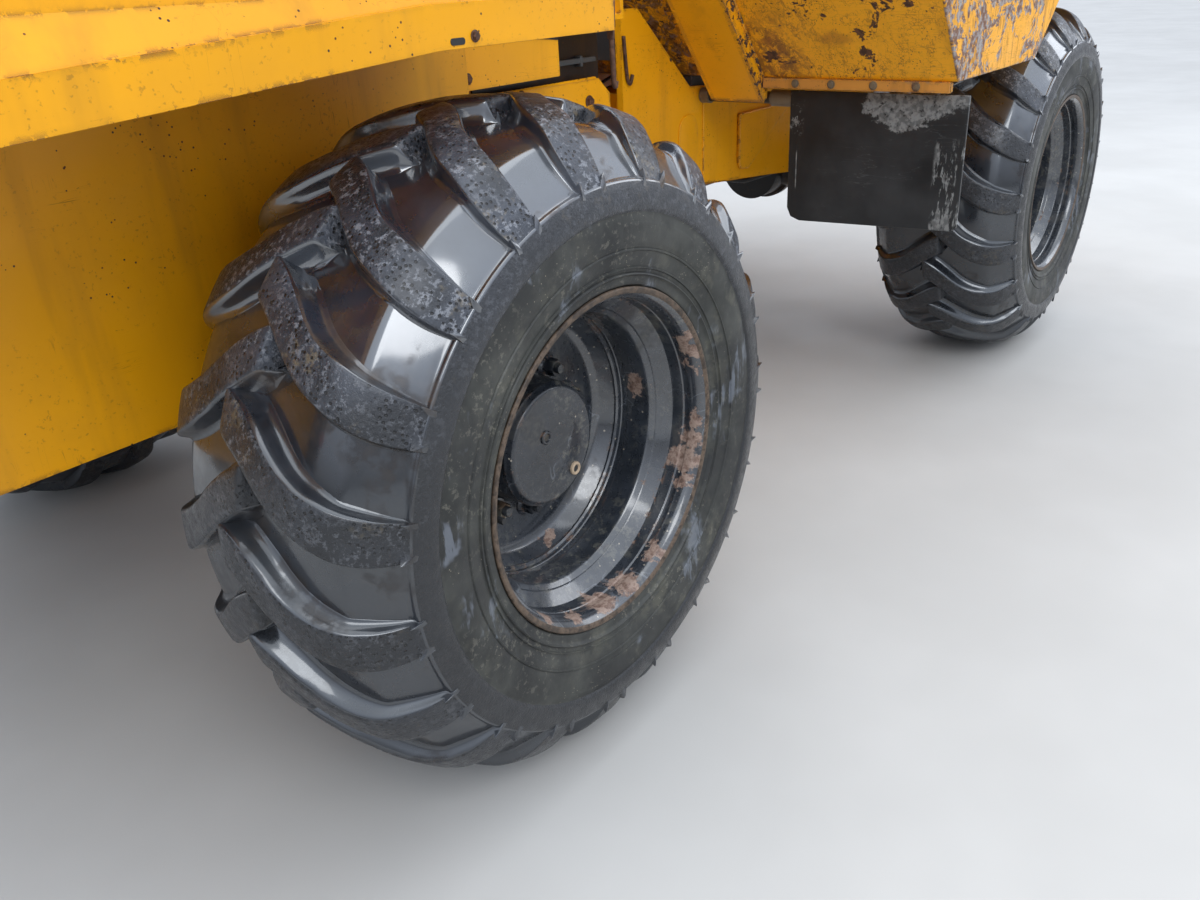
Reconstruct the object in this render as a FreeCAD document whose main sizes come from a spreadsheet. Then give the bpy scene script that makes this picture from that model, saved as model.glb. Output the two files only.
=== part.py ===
import FreeCAD, Part
import os
import math
import Sketcher
from FreeCAD import Vector, Placement, Rotation

# Articulated site dumper, built at full size in millimetres.
# +X is the way it drives, +Y is its left side, +Z is up, and the ground is z = 0.
# Two rigid frames are hinged at a vertical pivot; the front one carries a
# forward-tipping skip, the rear one the engine, the seat and the roll bar.

doc = FreeCAD.newDocument("site_dumper")

# ---------------------------------------------------------------- dimensions
sheet = doc.addObject("Spreadsheet::Sheet", "Dims")
TABLE = [  # alias, value in mm (or degrees where the name ends in _angle)
    ("rear_axle_x", -1175), ("front_axle_x", 1413), ("wheel_z", 585),
    ("tyre_radius", 585), ("tyre_width", 500), ("wheel_y", 950), ("tyre_y", 930), ("rim_back", 235),
    ("flange_radius", 298.5), ("rim_half", 210), ("seat_radius", 285.5),
    ("well_radius", 250), ("disc_depth", 215), ("cap_depth", 137), ("cap_radius", 109),
    ("stub_radius", 40), ("run_gap", 0.05),
    ("pivot_x", -55), ("pivot_radius", 35), ("fork_top", 1085), ("fork_low", 640),
    ("plate", 20), ("rear_half", 610), ("rear_low", 695), ("rear_top", 1262),
    ("rear_end", -2200), ("bulkhead_x", -885), ("deck_end", -260),
    ("front_half", 360), ("front_low", 653), ("front_top", 1003), ("front_back", -45),
    ("front_nose", 1650),
    ("tip_x", 1575), ("tip_z", 970), ("tip_pin", 30),
    ("skip_half", 1160), ("skip_wall", 12), ("skip_top", 1850), ("skip_floor", 1039),
    ("skip_lip_x", 2325), ("skip_lip_z", 1548), ("skip_back", -75), ("skip_bend_z", 1507),
    ("skip_heel", 304), ("skip_toe", 925), ("skip_step_x", 1195), ("skip_step_z", 1274),
    ("guard_y", 1060), ("guard_end", -1002), ("guard_kink", -1383), ("guard_low", 1248),
    ("guard_lip", 57), ("pod_top", 1640), ("pod_y", 1026), ("pod_in", 610),
    ("bonnet_top", 1740), ("bonnet_half", 598), ("bonnet_front", -1045), ("bonnet_rear", -2262),
    ("floor_z", 1240), ("floor_half", 560), ("floor_front", -300),
    ("rops_y", 545), ("rops_top", 3150), ("rops_tube", 80),
    ("seat_x", -700), ("seat_top", 1665),
    ("ram_z", 860), ("ram_y", 230), ("ram_back", -700), ("ram_eye", 38),
    ("lift_x", 250), ("lift_z", 800), ("lift_y", 205), ("lift_eye_x", 975), ("lift_eye_z", 990),
    ("flap_x", 338), ("flap_top", 1003), ("flap_low", 662),
    ("bumper_end", -2325),
    ("hinge_x", -1050), ("hinge_z", 1728), ("hinge_pin", 8),
]


class Num:
    """A number that also carries the sheet formula it comes from."""

    def __init__(self, value, text):
        self.v = float(value)
        self.t = text

    def __add__(self, o):
        o = num(o)
        return Num(self.v + o.v, "(%s + %s)" % (self.t, o.t))

    def __radd__(self, o):
        return num(o) + self

    def __sub__(self, o):
        o = num(o)
        return Num(self.v - o.v, "(%s - %s)" % (self.t, o.t))

    def __rsub__(self, o):
        return num(o) - self

    def __mul__(self, o):
        o = num(o)
        return Num(self.v * o.v, "(%s * %s)" % (self.t, o.t))

    def __rmul__(self, o):
        return num(o) * self

    def __truediv__(self, o):
        o = num(o)
        return Num(self.v / o.v, "(%s / %s)" % (self.t, o.t))

    def __neg__(self):
        return Num(-self.v, "(0 - %s)" % self.t)


def num(x):
    if isinstance(x, Num):
        return x
    return Num(x, ("%.4f" % x) if x >= 0 else "(0 - %.4f)" % (-x))


class Dim:
    pass


d = Dim()
for row, (alias, value) in enumerate(TABLE, 1):
    sheet.set("A%d" % row, alias)
    sheet.set("B%d" % row, str(value))
    sheet.setAlias("B%d" % row, alias)
    setattr(d, alias, Num(value, "Dims." + alias))
doc.recompute()


# ------------------------------------------------------------------- helpers
def bind(obj, prop, value):
    """Give a property its value, and its formula if it has one."""
    value = num(value)
    if "." in prop:
        obj.setExpression(prop, value.t)
    else:
        setattr(obj, prop, value.v)
        if "Dims." in value.t:
            obj.setExpression(prop, value.t)


def place(obj, x=0, y=0, z=0):
    x, y, z = num(x), num(y), num(z)
    obj.Placement = Placement(Vector(x.v, y.v, z.v), obj.Placement.Rotation)
    for axis, value in (("x", x), ("y", y), ("z", z)):
        if "Dims." in value.t:
            obj.setExpression("Placement.Base." + axis, value.t)


def box(name, x, y, z):
    """Block between the pairs x, y and z of (low, high)."""
    o = doc.addObject("Part::Box", name)
    for prop, (lo, hi) in (("Length", x), ("Width", y), ("Height", z)):
        bind(o, prop, num(hi) - num(lo))
    place(o, x[0], y[0], z[0])
    return o


def rod(name, radius, axis, centre, span):
    """Round bar along X, Y or Z; centre gives the other two places."""
    o = doc.addObject("Part::Cylinder", name)
    bind(o, "Radius", radius)
    bind(o, "Height", num(span[1]) - num(span[0]))
    if axis == "Z":
        place(o, centre[0], centre[1], span[0])
    elif axis == "Y":
        o.Placement = Placement(Vector(), Rotation(Vector(1, 0, 0), -90))
        place(o, centre[0], span[0], centre[1])
    else:
        o.Placement = Placement(Vector(), Rotation(Vector(0, 1, 0), 90))
        place(o, span[0], centre[0], centre[1])
    return o


def bar(name, radius, p, q):
    """Round bar between two points."""
    p, q = Vector(*p), Vector(*q)
    o = doc.addObject("Part::Cylinder", name)
    o.Radius = radius
    o.Height = (q - p).Length
    o.Placement = Placement(p, Rotation(Vector(0, 0, 1), q - p))
    return o


def plane(body, role):
    for f in body.Origin.OriginFeatures:
        if f.Role == role:
            return f


def outline(body, name, role, points, offset=0, holes=()):
    """Closed sketch through the points, each held from the origin.
    Holes are rows of (across, up, radius)."""
    sk = body.newObject("Sketcher::SketchObject", name)
    sk.AttachmentSupport = [(plane(body, role), "")]
    sk.MapMode = "FlatFace"
    offset = num(offset)
    sk.AttachmentOffset = Placement(Vector(0, 0, offset.v), Rotation())
    if "Dims." in offset.t:
        sk.setExpression("AttachmentOffset.Base.z", offset.t)
    pts = [(num(a), num(b)) for a, b in points]
    n = len(pts)
    geo = [Part.LineSegment(Vector(pts[i][0].v, pts[i][1].v, 0),
                            Vector(pts[(i + 1) % n][0].v, pts[(i + 1) % n][1].v, 0))
           for i in range(n)]
    sk.addGeometry(geo, False)
    cons = [Sketcher.Constraint("Coincident", i, 2, (i + 1) % n, 1) for i in range(n)]
    sk.addConstraint(cons)
    for i, (a, b) in enumerate(pts):
        for kind, value in (("DistanceX", a), ("DistanceY", b)):
            if abs(value.v) < 1e-9:
                k = sk.addConstraint(Sketcher.Constraint(
                    "PointOnObject", i, 1, -2 if kind == "DistanceX" else -1))
                continue
            k = sk.addConstraint(Sketcher.Constraint(kind, -1, 1, i, 1, value.v))
            if "Dims." in value.t:
                sk.setExpression("Constraints[%d]" % k, value.t)
    for a, b, r in holes:
        a, b, r = num(a), num(b), num(r)
        g = sk.addGeometry(Part.Circle(Vector(a.v, b.v, 0), Vector(0, 0, 1), r.v), False)
        for kind, value in (("DistanceX", a), ("DistanceY", b)):
            if abs(value.v) < 1e-9:
                sk.addConstraint(Sketcher.Constraint(
                    "PointOnObject", g, 3, -2 if kind == "DistanceX" else -1))
                continue
            k = sk.addConstraint(Sketcher.Constraint(kind, -1, 1, g, 3, value.v))
            if "Dims." in value.t:
                sk.setExpression("Constraints[%d]" % k, value.t)
        k = sk.addConstraint(Sketcher.Constraint("Radius", g, r.v))
        if "Dims." in r.t:
            sk.setExpression("Constraints[%d]" % k, r.t)
    return sk


def panel(name, role, points, lo, hi, holes=()):
    """Plate of any outline. Role XZ: points are (x, z) and lo, hi are y;
    role XY: (x, y) and z; role YZ: (y, z) and x."""
    body = doc.addObject("PartDesign::Body", name)
    lo, hi = num(lo), num(hi)
    start = -hi if role == "XZ" else lo
    sk = outline(body, name + "_outline", role + "_Plane", points, start, holes)
    pad = body.newObject("PartDesign::Pad", name + "_pad")
    pad.Profile = sk
    pad.Length = (hi - lo).v
    t = (hi - lo)
    if "Dims." in t.t:
        pad.setExpression("Length", t.t)
    sk.Visibility = False
    body.Tip = pad
    return body


def turned(name, points, axis_x, centre_y, centre_z, flip=False):
    """Turned ring: points are (along, radius), the axis lies along Y."""
    body = doc.addObject("PartDesign::Body", name)
    sk = outline(body, name + "_outline", "XY_Plane", points)
    rev = body.newObject("PartDesign::Revolution", name + "_turn")
    rev.Profile = sk
    rev.ReferenceAxis = (sk, ["H_Axis"])
    rev.Angle = 360
    sk.Visibility = False
    body.Tip = rev
    # the sketch's own X becomes the wheel's outward direction
    body.Placement = Placement(Vector(), Rotation(Vector(0, 0, 1), -90 if flip else 90))
    place(body, axis_x, centre_y, centre_z)
    return body


def fuse(name, parts):
    o = doc.addObject("Part::MultiFuse", name)
    o.Shapes = parts
    return o


def cut(name, base, tool):
    o = doc.addObject("Part::Cut", name)
    o.Base = base
    o.Tool = tool
    return o


def group(name, parts):
    o = doc.addObject("Part::Compound", name)
    o.Links = parts
    return o


NODES = []


def node(obj, name):
    obj.Label = name
    NODES.append((name, obj))
    return obj


SIDES = [("right", -1), ("left", 1)]        # side name, sign of y


def both(sign, lo, hi):
    """The span lo..hi on the given side, lowest first."""
    return (num(lo), num(hi)) if sign > 0 else (-num(hi), -num(lo))


# -------------------------------------------------------------------- wheels
# name, axle position, side sign
WHEELS = [("rear_right", d.rear_axle_x, -1), ("rear_left", d.rear_axle_x, 1),
          ("front_right", d.front_axle_x, -1), ("front_left", d.front_axle_x, 1)]

T, R, B = d.rim_half, d.flange_radius, d.rim_back
W, TR = d.tyre_width / 2, d.tyre_radius
for name, x, s in WHEELS:
    # tyre: along is measured outwards from the wheel's middle, the tyre sits a little inboard of it
    O, I = W + d.tyre_y - d.wheel_y, -(W - d.tyre_y + d.wheel_y)
    outer = [(d.rim_half - 9, d.seat_radius + 0.5), (d.rim_half - 9, 312), (d.rim_half + 6, 348), (O, 412),
             (O - 5, 442), (O - 14, 474), (O - 30, 507), (O - 50, 532), (O - 80, TR - 28), (O - 110, TR - 16),
             (O - 150, TR - 7), (O - 190, TR)]
    back = [(I + 190, TR), (I + 150, TR - 7), (I + 110, TR - 16), (I + 80, TR - 28), (I + 50, 532), (I + 30, 507),
            (I + 14, 474), (I + 5, 442), (I, 412), (-(d.rim_back + 6), 348), (-(d.rim_back - 9), 312),
            (-(d.rim_back - 9), d.seat_radius + 0.5)]
    hollow = [(-(d.rim_back - 42), d.seat_radius + 0.5), (-(d.rim_back - 36), 312), (-(d.rim_back - 12), 350),
              (I + 30, 412), (I + 44, 462), (I + 90, 503), (I + 190, 518), (O - 190, 518), (O - 90, 503),
              (O - 44, 462), (O - 30, 412), (d.rim_half - 12, 350), (d.rim_half - 36, 312),
              (d.rim_half - 42, d.seat_radius + 0.5)]
    ring = outer + back + hollow
    tyre = turned(name + "_tyre_body", ring, x, d.wheel_y * s, d.wheel_z, flip=(s < 0))
    node(tyre, name + "_tyre")
    # rim: flange, bead seat, well, recessed disc and the hub drum in its middle
    face = T - d.disc_depth
    cap = T - d.cap_depth
    rim_pts = [(T, R), (T - 8, R), (T - 8, d.seat_radius), (T - 60, d.seat_radius - 3),
               (T - 92, d.well_radius), (-60, d.well_radius), (-100, d.seat_radius - 3),
               (-(B - 8), d.seat_radius), (-(B - 8), R), (-B, R), (-B, R - 9),
               (-(B - 14), 276), (-108, 274), (-66, 241), (face - 18, 241), (face - 18, 165),
               (face - 26, 150), (face - 26, d.stub_radius + d.run_gap),
               (cap - 30, d.stub_radius + d.run_gap), (cap - 30, 0), (cap, 0),
               (cap, d.cap_radius - 12), (cap - 10, d.cap_radius), (face + 22, d.cap_radius + 4),
               (face, d.cap_radius + 14), (face, 218), (face + 39, 241), (T - 100, 241),
               (T - 68, 274), (T - 14, 276), (T, R - 9)]
    rim = turned(name + "_rim_body", rim_pts, x, d.wheel_y * s, d.wheel_z, flip=(s < 0))
    node(rim, name + "_rim")

# --------------------------------------------------------------------- axles
for name, x, seat, case in (("rear_axle", d.rear_axle_x, d.rear_low, 175), ("front_axle", d.front_axle_x, d.rear_low, 125)):
    parts = [rod(name + "_tube", 85, "Y", (x, d.wheel_z), (-640, 640)),
             rod(name + "_case", case, "X", (0, d.wheel_z), (x - 130, x + 130))]
    for side, s in SIDES:
        parts.append(rod(name + "_drum_" + side, 150, "Y", (x, d.wheel_z), both(s, 620, 900)))
        parts.append(rod(name + "_stub_" + side, d.stub_radius, "Y", (x, d.wheel_z),
                         both(s, 890, d.wheel_y + 30)))
        parts.append(box(name + "_pad_" + side, (x - 110, x + 110), both(s, 330, 590), (620, seat)))
    node(fuse(name + "_all", parts), name)

# ---------------------------------------------------------------- rear frame
p = d.plate
parts = []
for side, s in SIDES:
    parts.append(panel("rear_cheek_" + side, "XZ",
                       [(d.rear_end, 820), (-2030, d.rear_low), (d.bulkhead_x, d.rear_low),
                        (d.bulkhead_x, d.rear_top), (d.rear_end, d.rear_top)],
                       *both(s, d.rear_half - p, d.rear_half)))
    parts.append(panel("hitch_web_" + side, "XZ",
                       [(d.bulkhead_x - 5, d.fork_low + 20), (d.deck_end, d.fork_low + 20),
                        (d.deck_end, d.fork_top - 20), (d.bulkhead_x - 5, d.fork_top - 20)],
                       *both(s, 100, 120)))
    parts.append(panel("hitch_side_" + side, "XZ",
                       [(d.bulkhead_x - 5, 985), (d.deck_end, 985), (d.deck_end, 1056),
                        (d.deck_end - 44, d.fork_top + 10), (d.bulkhead_x - 5, d.fork_top + 10)],
                       *both(s, 460, 480)))
    for k, z in enumerate((d.ram_z - 40, d.ram_z + 28)):
        parts.append(box("steer_lug_%s_%d" % (side, k), (d.bulkhead_x - 5, d.ram_back + 38),
                         both(s, d.ram_y - 38, d.ram_y + 38), (z, z + 12)))
    parts.append(rod("steer_pin_" + side, 18, "Z", (d.ram_back, d.ram_y * s),
                     (d.ram_z - 46, d.ram_z + 46)))
parts.append(box("rear_cross", (d.rear_end, d.rear_end + p), (-d.rear_half + p, d.rear_half - p), (820, d.rear_top)))
parts.append(box("bulkhead", (d.bulkhead_x - p, d.bulkhead_x), (-d.rear_half + p, d.rear_half - p), (d.rear_low, d.floor_z - 12)))
parts.append(box("engine_beam", (-1960, -1880), (-d.rear_half + p, d.rear_half - p), (d.rear_low, 775)))
parts.append(box("gear_beam", (-1420, -1375), (-d.rear_half + p, d.rear_half - p), (d.rear_low + 25, 775)))
parts.append(panel("hitch_deck", "XY",
                   [(d.bulkhead_x - 5, -480), (d.deck_end - 40, -480), (d.deck_end, -445), (d.deck_end, -150),
                    (20, -110), (55, -60), (55, 60), (20, 110), (d.deck_end, 150), (d.deck_end, 445),
                    (d.deck_end - 40, 480), (d.bulkhead_x - 5, 480)],
                   d.fork_top - 35, d.fork_top, [(d.pivot_x, 0, d.pivot_radius + d.run_gap)]))
parts.append(panel("hitch_sole", "XY",
                   [(d.bulkhead_x - 5, -320), (d.deck_end, -150), (20, -110), (55, -60), (55, 60),
                    (20, 110), (d.deck_end, 150), (d.bulkhead_x - 5, 320)],
                   d.fork_low, d.fork_low + 35, [(d.pivot_x, 0, d.pivot_radius + d.run_gap)]))
parts.append(box("sole_tie", (d.bulkhead_x - p, d.bulkhead_x), (-320, 320), (d.fork_low, d.rear_low + 5)))
node(fuse("rear_frame_all", parts), "rear_frame")

node(fuse("pivot_pin_all", [
    rod("pivot_shank", d.pivot_radius, "Z", (d.pivot_x, 0), (d.fork_low - 18, d.fork_top + 4)),
    rod("pivot_head", 58, "Z", (d.pivot_x, 0), (d.fork_top, d.fork_top + 22)),
    rod("pivot_nut", 52, "Z", (d.pivot_x, 0), (d.fork_low - 30, d.fork_low))]), "pivot_pin")

# engine and gearbox as one plain block
node(fuse("engine_all", [box("engine", (-2060, -1330), (-300, 300), (775, 1480)),
                         box("gearbox", (-1335, -1010), (-220, 220), (785, 1180))]), "engine_block")

node(fuse("rear_shaft_all", [rod("rear_tube", 38, "X", (0, 640), (-1045, d.bulkhead_x - 20)),
                             rod("rear_joint", 60, "X", (0, 640), (-960, -915))]), "rear_driveshaft")

# ------------------------------------------------- rear covers over the tyres
for side, s in SIDES:
    y0 = d.pod_in
    lip = panel("guard_lip_" + side, "XZ",
                [(-2240, d.guard_low - 56), (d.guard_kink, d.guard_low), (d.guard_end, d.guard_low),
                 (d.guard_end, d.guard_low + d.guard_lip), (d.guard_kink, d.guard_low + d.guard_lip),
                 (-2240, d.guard_low + d.guard_lip - 56)],
                *both(s, y0, d.guard_y))
    ch = panel("guard_slope_" + side, "YZ",
               [(s * y0, 1200), (s * (d.guard_y - 1), 1200), (s * (d.guard_y - 1), d.guard_low + d.guard_lip - 40),
                (s * d.pod_y, d.guard_low + d.guard_lip + 16), (s * (d.pod_y - 30), d.pod_top - 40),
                (s * (d.pod_y - 66), d.pod_top), (s * y0, d.pod_top)], -2240, d.guard_end - 4)
    keep = panel("guard_keep_" + side, "XZ",
                 [(-2240, d.guard_low - 50), (d.guard_kink, d.guard_low + 6), (d.guard_end, d.guard_low + 6),
                  (d.guard_end, d.pod_top + 5), (-2120, d.pod_top + 5), (-2240, 1480)],
                 *both(s, y0 - 5, d.guard_y + 5))
    com = doc.addObject("Part::MultiCommon", "guard_body_" + side)
    com.Shapes = [ch, keep]
    under = panel("guard_under_" + side, "XZ",
                  [(-2220, 1150), (-2220, 1470), (-2125, 1600), (-1018, 1600), (-1018, 1150)],
                  *both(s, y0 + 14, 980))
    node(cut("rear_cover_all_" + side, fuse("rear_cover_raw_" + side, [lip, com]), under), side + "_rear_cover")

wall = [box("engine_wall", (-1024, -1009), (-596, 596), (d.rear_top, 1690))]
for side, s in SIDES:
    for k, y in enumerate((322, 366)):
        wall.append(panel("hinge_lug_%s_%d" % (side, k), "XZ",
                          [(-1024, 1600), (-1009, 1600), (-1009, 1730), (-1028, 1742), (-1052, 1742),
                           (d.hinge_x - 14, 1734), (d.hinge_x - 14, 1720), (-1050, 1710), (-1030, 1700)],
                          *both(s, y, y + 12)))
    wall.append(rod("hinge_pin_" + side, d.hinge_pin, "Y", (d.hinge_x, d.hinge_z), both(s, 318, 382)))
node(fuse("engine_bulkhead_all", wall), "engine_bulkhead")

# bonnet: top, two sides and a rear frame around the grille
H = d.bonnet_half
bon = panel("bonnet_outer", "YZ",
            [(-H, 1275), (H, 1275), (H, d.bonnet_top - 50), (H - 40, d.bonnet_top),
             (-H + 40, d.bonnet_top), (-H, d.bonnet_top - 50)], d.bonnet_rear, d.bonnet_front)
hol = panel("bonnet_hollow", "YZ",
            [(-H + 16, 1260), (H - 16, 1260), (H - 16, d.bonnet_top - 56), (H - 46, d.bonnet_top - 16),
             (-H + 46, d.bonnet_top - 16), (-H + 16, d.bonnet_top - 56)], d.bonnet_rear + 18, d.bonnet_front + 10)
win = box("grille_window", (d.bonnet_rear - 10, d.bonnet_rear + 30), (-460, 460), (1340, 1640))
knuckles, notches = [], [win]
for side, s in SIDES:
    notches.append(box("bonnet_notch_" + side, (-1082, d.bonnet_front + 10), both(s, 314, 386), (1700, d.bonnet_top + 10)))
    knuckles += [rod("bonnet_knuckle_" + side, 13, "Y", (d.hinge_x, d.hinge_z), both(s, 337, 363)),
                 box("bonnet_strap_" + side, (-1180, d.hinge_x - 9), both(s, 338, 362), (1718, 1730))]
bores = [rod("knuckle_bore_" + side, d.hinge_pin + d.run_gap, "Y", (d.hinge_x, d.hinge_z), both(s, 330, 370)) for side, s in SIDES]
plain = cut("bonnet_plain", cut("bonnet_shell", bon, hol), fuse("bonnet_notches", notches))
node(cut("bonnet_all", fuse("bonnet_hinged", [plain] + knuckles), fuse("knuckle_bores", bores)), "bonnet")
slats = [box("grille_slat_%d" % i, (d.bonnet_rear + 3, d.bonnet_rear + 15), (-458, 458), (1345 + 37 * i, 1363 + 37 * i))
         for i in range(8)]
slats += [box("grille_post_%d" % i, (d.bonnet_rear + 5, d.bonnet_rear + 17), (y - 9, y + 9), (1341, 1639))
          for i, y in enumerate((-450, 0, 450))]
node(fuse("grille_all", slats), "grille")

# ------------------------------------------------------ bumper, tow jaw, lamps
bump = panel("bumper_block", "XY",
             [(d.bumper_end, -480), (d.bumper_end + 60, -700), (d.rear_end, -700), (d.rear_end, 700),
              (d.bumper_end + 60, 700), (d.bumper_end, 480)], 740, 1180)
pin_slot = box("pin_slot", (d.bumper_end - 5, d.bumper_end + 82), (-60, 60), (730, 1190))
node(cut("rear_bumper_all", bump, pin_slot), "rear_bumper")
jaw = [box("jaw_low", (d.bumper_end + 5, d.rear_end + 40), (-70, 70), (560, 585)),
       box("jaw_high", (d.bumper_end + 5, d.rear_end + 40), (-70, 70), (655, 680)),
       box("jaw_back", (d.rear_end - 40, d.rear_end + 40), (-70, 70), (560, 740))]
jaw_hole = rod("jaw_hole", 16, "Z", (d.bumper_end + 45, 0), (550, 690))
node(cut("tow_jaw_all", fuse("tow_jaw_raw", jaw), jaw_hole), "tow_jaw")
lamps = []
for side, s in SIDES:
    lamps.append(box("tail_lamp_" + side, (-2262, -2240), both(s, 820, 960), (1290, 1400)))
node(group("tail_lamps_all", lamps), "tail_lamps")

# ------------------------------------------------------------ operator station
fl = [box("floor_plate", (-1005, d.floor_front), (-d.floor_half, d.floor_half), (d.floor_z - 12, d.floor_z))]
for side, s in SIDES:
    fl.append(box("floor_side_" + side, (-860, -545), both(s, d.floor_half - 16, d.floor_half), (1125, d.floor_z)))
    fl.append(box("floor_leg_" + side, (-400, -360), both(s, 400, 440), (d.fork_top, d.floor_z)))
    fl.append(box("floor_back_" + side, (-884, -860), both(s, 300, d.floor_half), (1125, d.floor_z)))
fl.append(box("floor_front_turn", (d.floor_front - 12, d.floor_front), (-d.floor_half, d.floor_half), (d.floor_z - 12, d.floor_z + 60)))
node(fuse("platform_all", fl), "operator_floor")

# boarding steps on the left side
st = [panel("step_cheek_%d" % i, "YZ", [(560, 500), (790, 500), (790, 600), (740, 860), (740, 920), (600, 1228), (560, 1228)],
            x, x + 10) for i, x in enumerate((-570, -340))]
st += [box("step_tread_%d" % i, (-570, -330), (620, y), (z, z + 28)) for i, (z, y) in enumerate(((505, 785), (840, 735)))]
st += [box("step_tie", (-570, -330), (560, 570), (1100, d.floor_z - 12))]
node(fuse("steps_all", st), "left_steps")

node(fuse("seat_base_all", [
    box("seat_plinth", (-900, -500), (-200, 200), (d.floor_z, 1470)),
    box("seat_slide", (-960, -520), (-170, 170), (1465, 1550)),
    panel("seat_pan_all", "XZ", [(-1003, 1490), (-950, 1490), (-936, 1552), (-936, d.seat_top + 5), (-1003, 2010)],
          -200, 200)]), "seat_base")
node(box("seat_cushion_all", (-930, -470), (-235, 235), (1552, d.seat_top)), "seat_cushion")
node(panel("seat_back_all", "XZ", [(-925, d.seat_top + 5), (-1000, 2080), (-915, 2080), (-835, d.seat_top + 5)],
           -225, 225), "seat_back")

# steering column, dash and wheel; the wheel's shaft leans back 25 degrees
LEAN = math.radians(25)
hub = Vector(-455, 0, 1810)
up = Vector(-math.sin(LEAN), 0, math.cos(LEAN))
node(panel("console_all", "XZ",
           [(-420, d.floor_z), (-312, d.floor_z), (-330, 1640), (-400, 1735), (-470, 1700), (-450, 1600)],
           -110, 110), "dash_column")
foot = hub - up * 62
shaft = doc.addObject("Part::Cylinder", "wheel_shaft")
shaft.Radius = 16
shaft.Height = 62
shaft.Placement = Placement(foot, Rotation(Vector(0, 0, 1), up))
rimt = doc.addObject("Part::Torus", "wheel_ring")
rimt.Radius1 = 178
rimt.Radius2 = 14
rimt.Placement = Placement(hub, Rotation(Vector(0, 0, 1), up))
boss = doc.addObject("Part::Cylinder", "wheel_boss")
boss.Radius = 42
boss.Height = 30
boss.Placement = Placement(hub - up * 22, Rotation(Vector(0, 0, 1), up))
spokes = []
for i in range(3):
    a = math.radians(90 + 120 * i)
    side = Vector(0, 1, 0) * math.cos(a) + up.cross(Vector(0, 1, 0)) * math.sin(a)
    q = hub + side * 172
    spokes.append(bar("wheel_spoke_%d" % i, 9, tuple(hub - up * 6), tuple(q)))
node(fuse("steering_wheel_all", [shaft, rimt, boss] + spokes), "steering_wheel")
node(fuse("levers_all", [box("lever_box", (-760, -560), (-340, -250), (d.floor_z, 1600)),
                         rod("lever_a", 8, "Z", (-620, -295), (1590, 1760)),
                         rod("lever_b", 8, "Z", (-690, -295), (1590, 1740))]), "side_levers")

# roll-over bar
ry, rt = d.rops_y, d.rops_tube
hoop = panel("rops_outer", "YZ",
             [(-ry - rt / 2, d.floor_z), (-ry - rt / 2, d.rops_top - 90), (-ry - rt / 2 + 90, d.rops_top),
              (ry + rt / 2 - 90, d.rops_top), (ry + rt / 2, d.rops_top - 90), (ry + rt / 2, d.floor_z)],
             -1003, -923)
gap = panel("rops_inner", "YZ",
            [(-ry + rt / 2, d.floor_z - 5), (-ry + rt / 2, d.rops_top - 120), (-ry + rt / 2 + 40, d.rops_top - rt),
             (ry - rt / 2 - 40, d.rops_top - rt), (ry - rt / 2, d.rops_top - 120), (ry - rt / 2, d.floor_z - 5)],
            -1010, -915)
hoop_cut = cut("rops_loop", hoop, gap)
feet = [box("rops_foot_" + side, (-1003, -855), both(s, ry - 65, ry + 15), (d.floor_z, d.floor_z + 14)) for side, s in SIDES]
node(fuse("rops_all", [hoop_cut] + feet), "roll_bar")
node(fuse("beacon_all", [rod("beacon_stem", 14, "Z", (-963, 380), (d.rops_top, d.rops_top + 60)),
                         rod("beacon_dome", 60, "Z", (-963, 380), (d.rops_top + 60, d.rops_top + 170))]), "beacon")

rails = []
for side, s in SIDES:
    y = 535 * s
    rails += [rod("rail_a_" + side, 15, "Z", (-830, y), (d.floor_z, 1755)),
              rod("rail_b_" + side, 15, "Z", (-640, y), (d.floor_z, 1755)),
              rod("rail_c_" + side, 18, "X", (y, 1760), (-853, -617))]
node(fuse("rails_all", rails), "hand_rails")

node(fuse("exhaust_all", [rod("exhaust_foot", 62, "Z", (-1780, -760), (d.pod_top, d.pod_top + 14)),
                          rod("exhaust_pipe", 38, "Z", (-1780, -760), (d.pod_top, 2180)),
                          rod("exhaust_box", 75, "Z", (-1780, -760), (d.pod_top + 90, 1980))]), "exhaust")

# --------------------------------------------------------------- front frame
parts = []
for side, s in SIDES:
    parts.append(panel("front_cheek_" + side, "XZ",
                       [(d.front_back, 735), (d.front_back, 1237), (32, 1237), (290, 1010), (392, d.front_top),
                        (1480, d.front_top), (1530, d.tip_z + 60), (1620, d.tip_z + 60), (d.front_nose, d.tip_z + 20),
                        (d.front_nose, 880), (1560, d.rear_low), (1260, d.rear_low), (1200, d.front_low),
                        (929, d.front_low), (363, 715)],
                       *both(s, d.front_half - p, d.front_half),
                       holes=[(d.tip_x, d.tip_z, d.tip_pin + d.run_gap)]))
    for k, z in enumerate((d.ram_z - 40, d.ram_z + 28)):
        parts.append(box("front_lug_%s_%d" % (side, k), (d.ram_eye - 34, 120),
                         both(s, d.ram_y - 36, d.ram_y + 36), (z, z + 12)))
    for k, (a, b) in enumerate(((38, 50), (-50, -38))):
        lo, hi = both(s, d.lift_y + (a if a > 0 else a), d.lift_y + b)
        parts.append(panel("lift_lug_%s_%d" % (side, k), "XZ",
                           [(180, 715), (330, 706), (286, d.lift_z), (272, d.lift_z + 30), (228, d.lift_z + 30), (214, d.lift_z)],
                           lo, hi))
    parts.append(rod("lift_pin_" + side, 22, "Y", (d.lift_x, d.lift_z), both(s, d.lift_y - 54, d.lift_y + 54)))
parts.append(box("front_cross_a", (114, 134), (-d.front_half + p, d.front_half - p), (735, 1003)))
parts.append(box("front_cross_b", (900, 920), (-d.front_half + p, d.front_half - p), (d.front_low, 870)))
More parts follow.
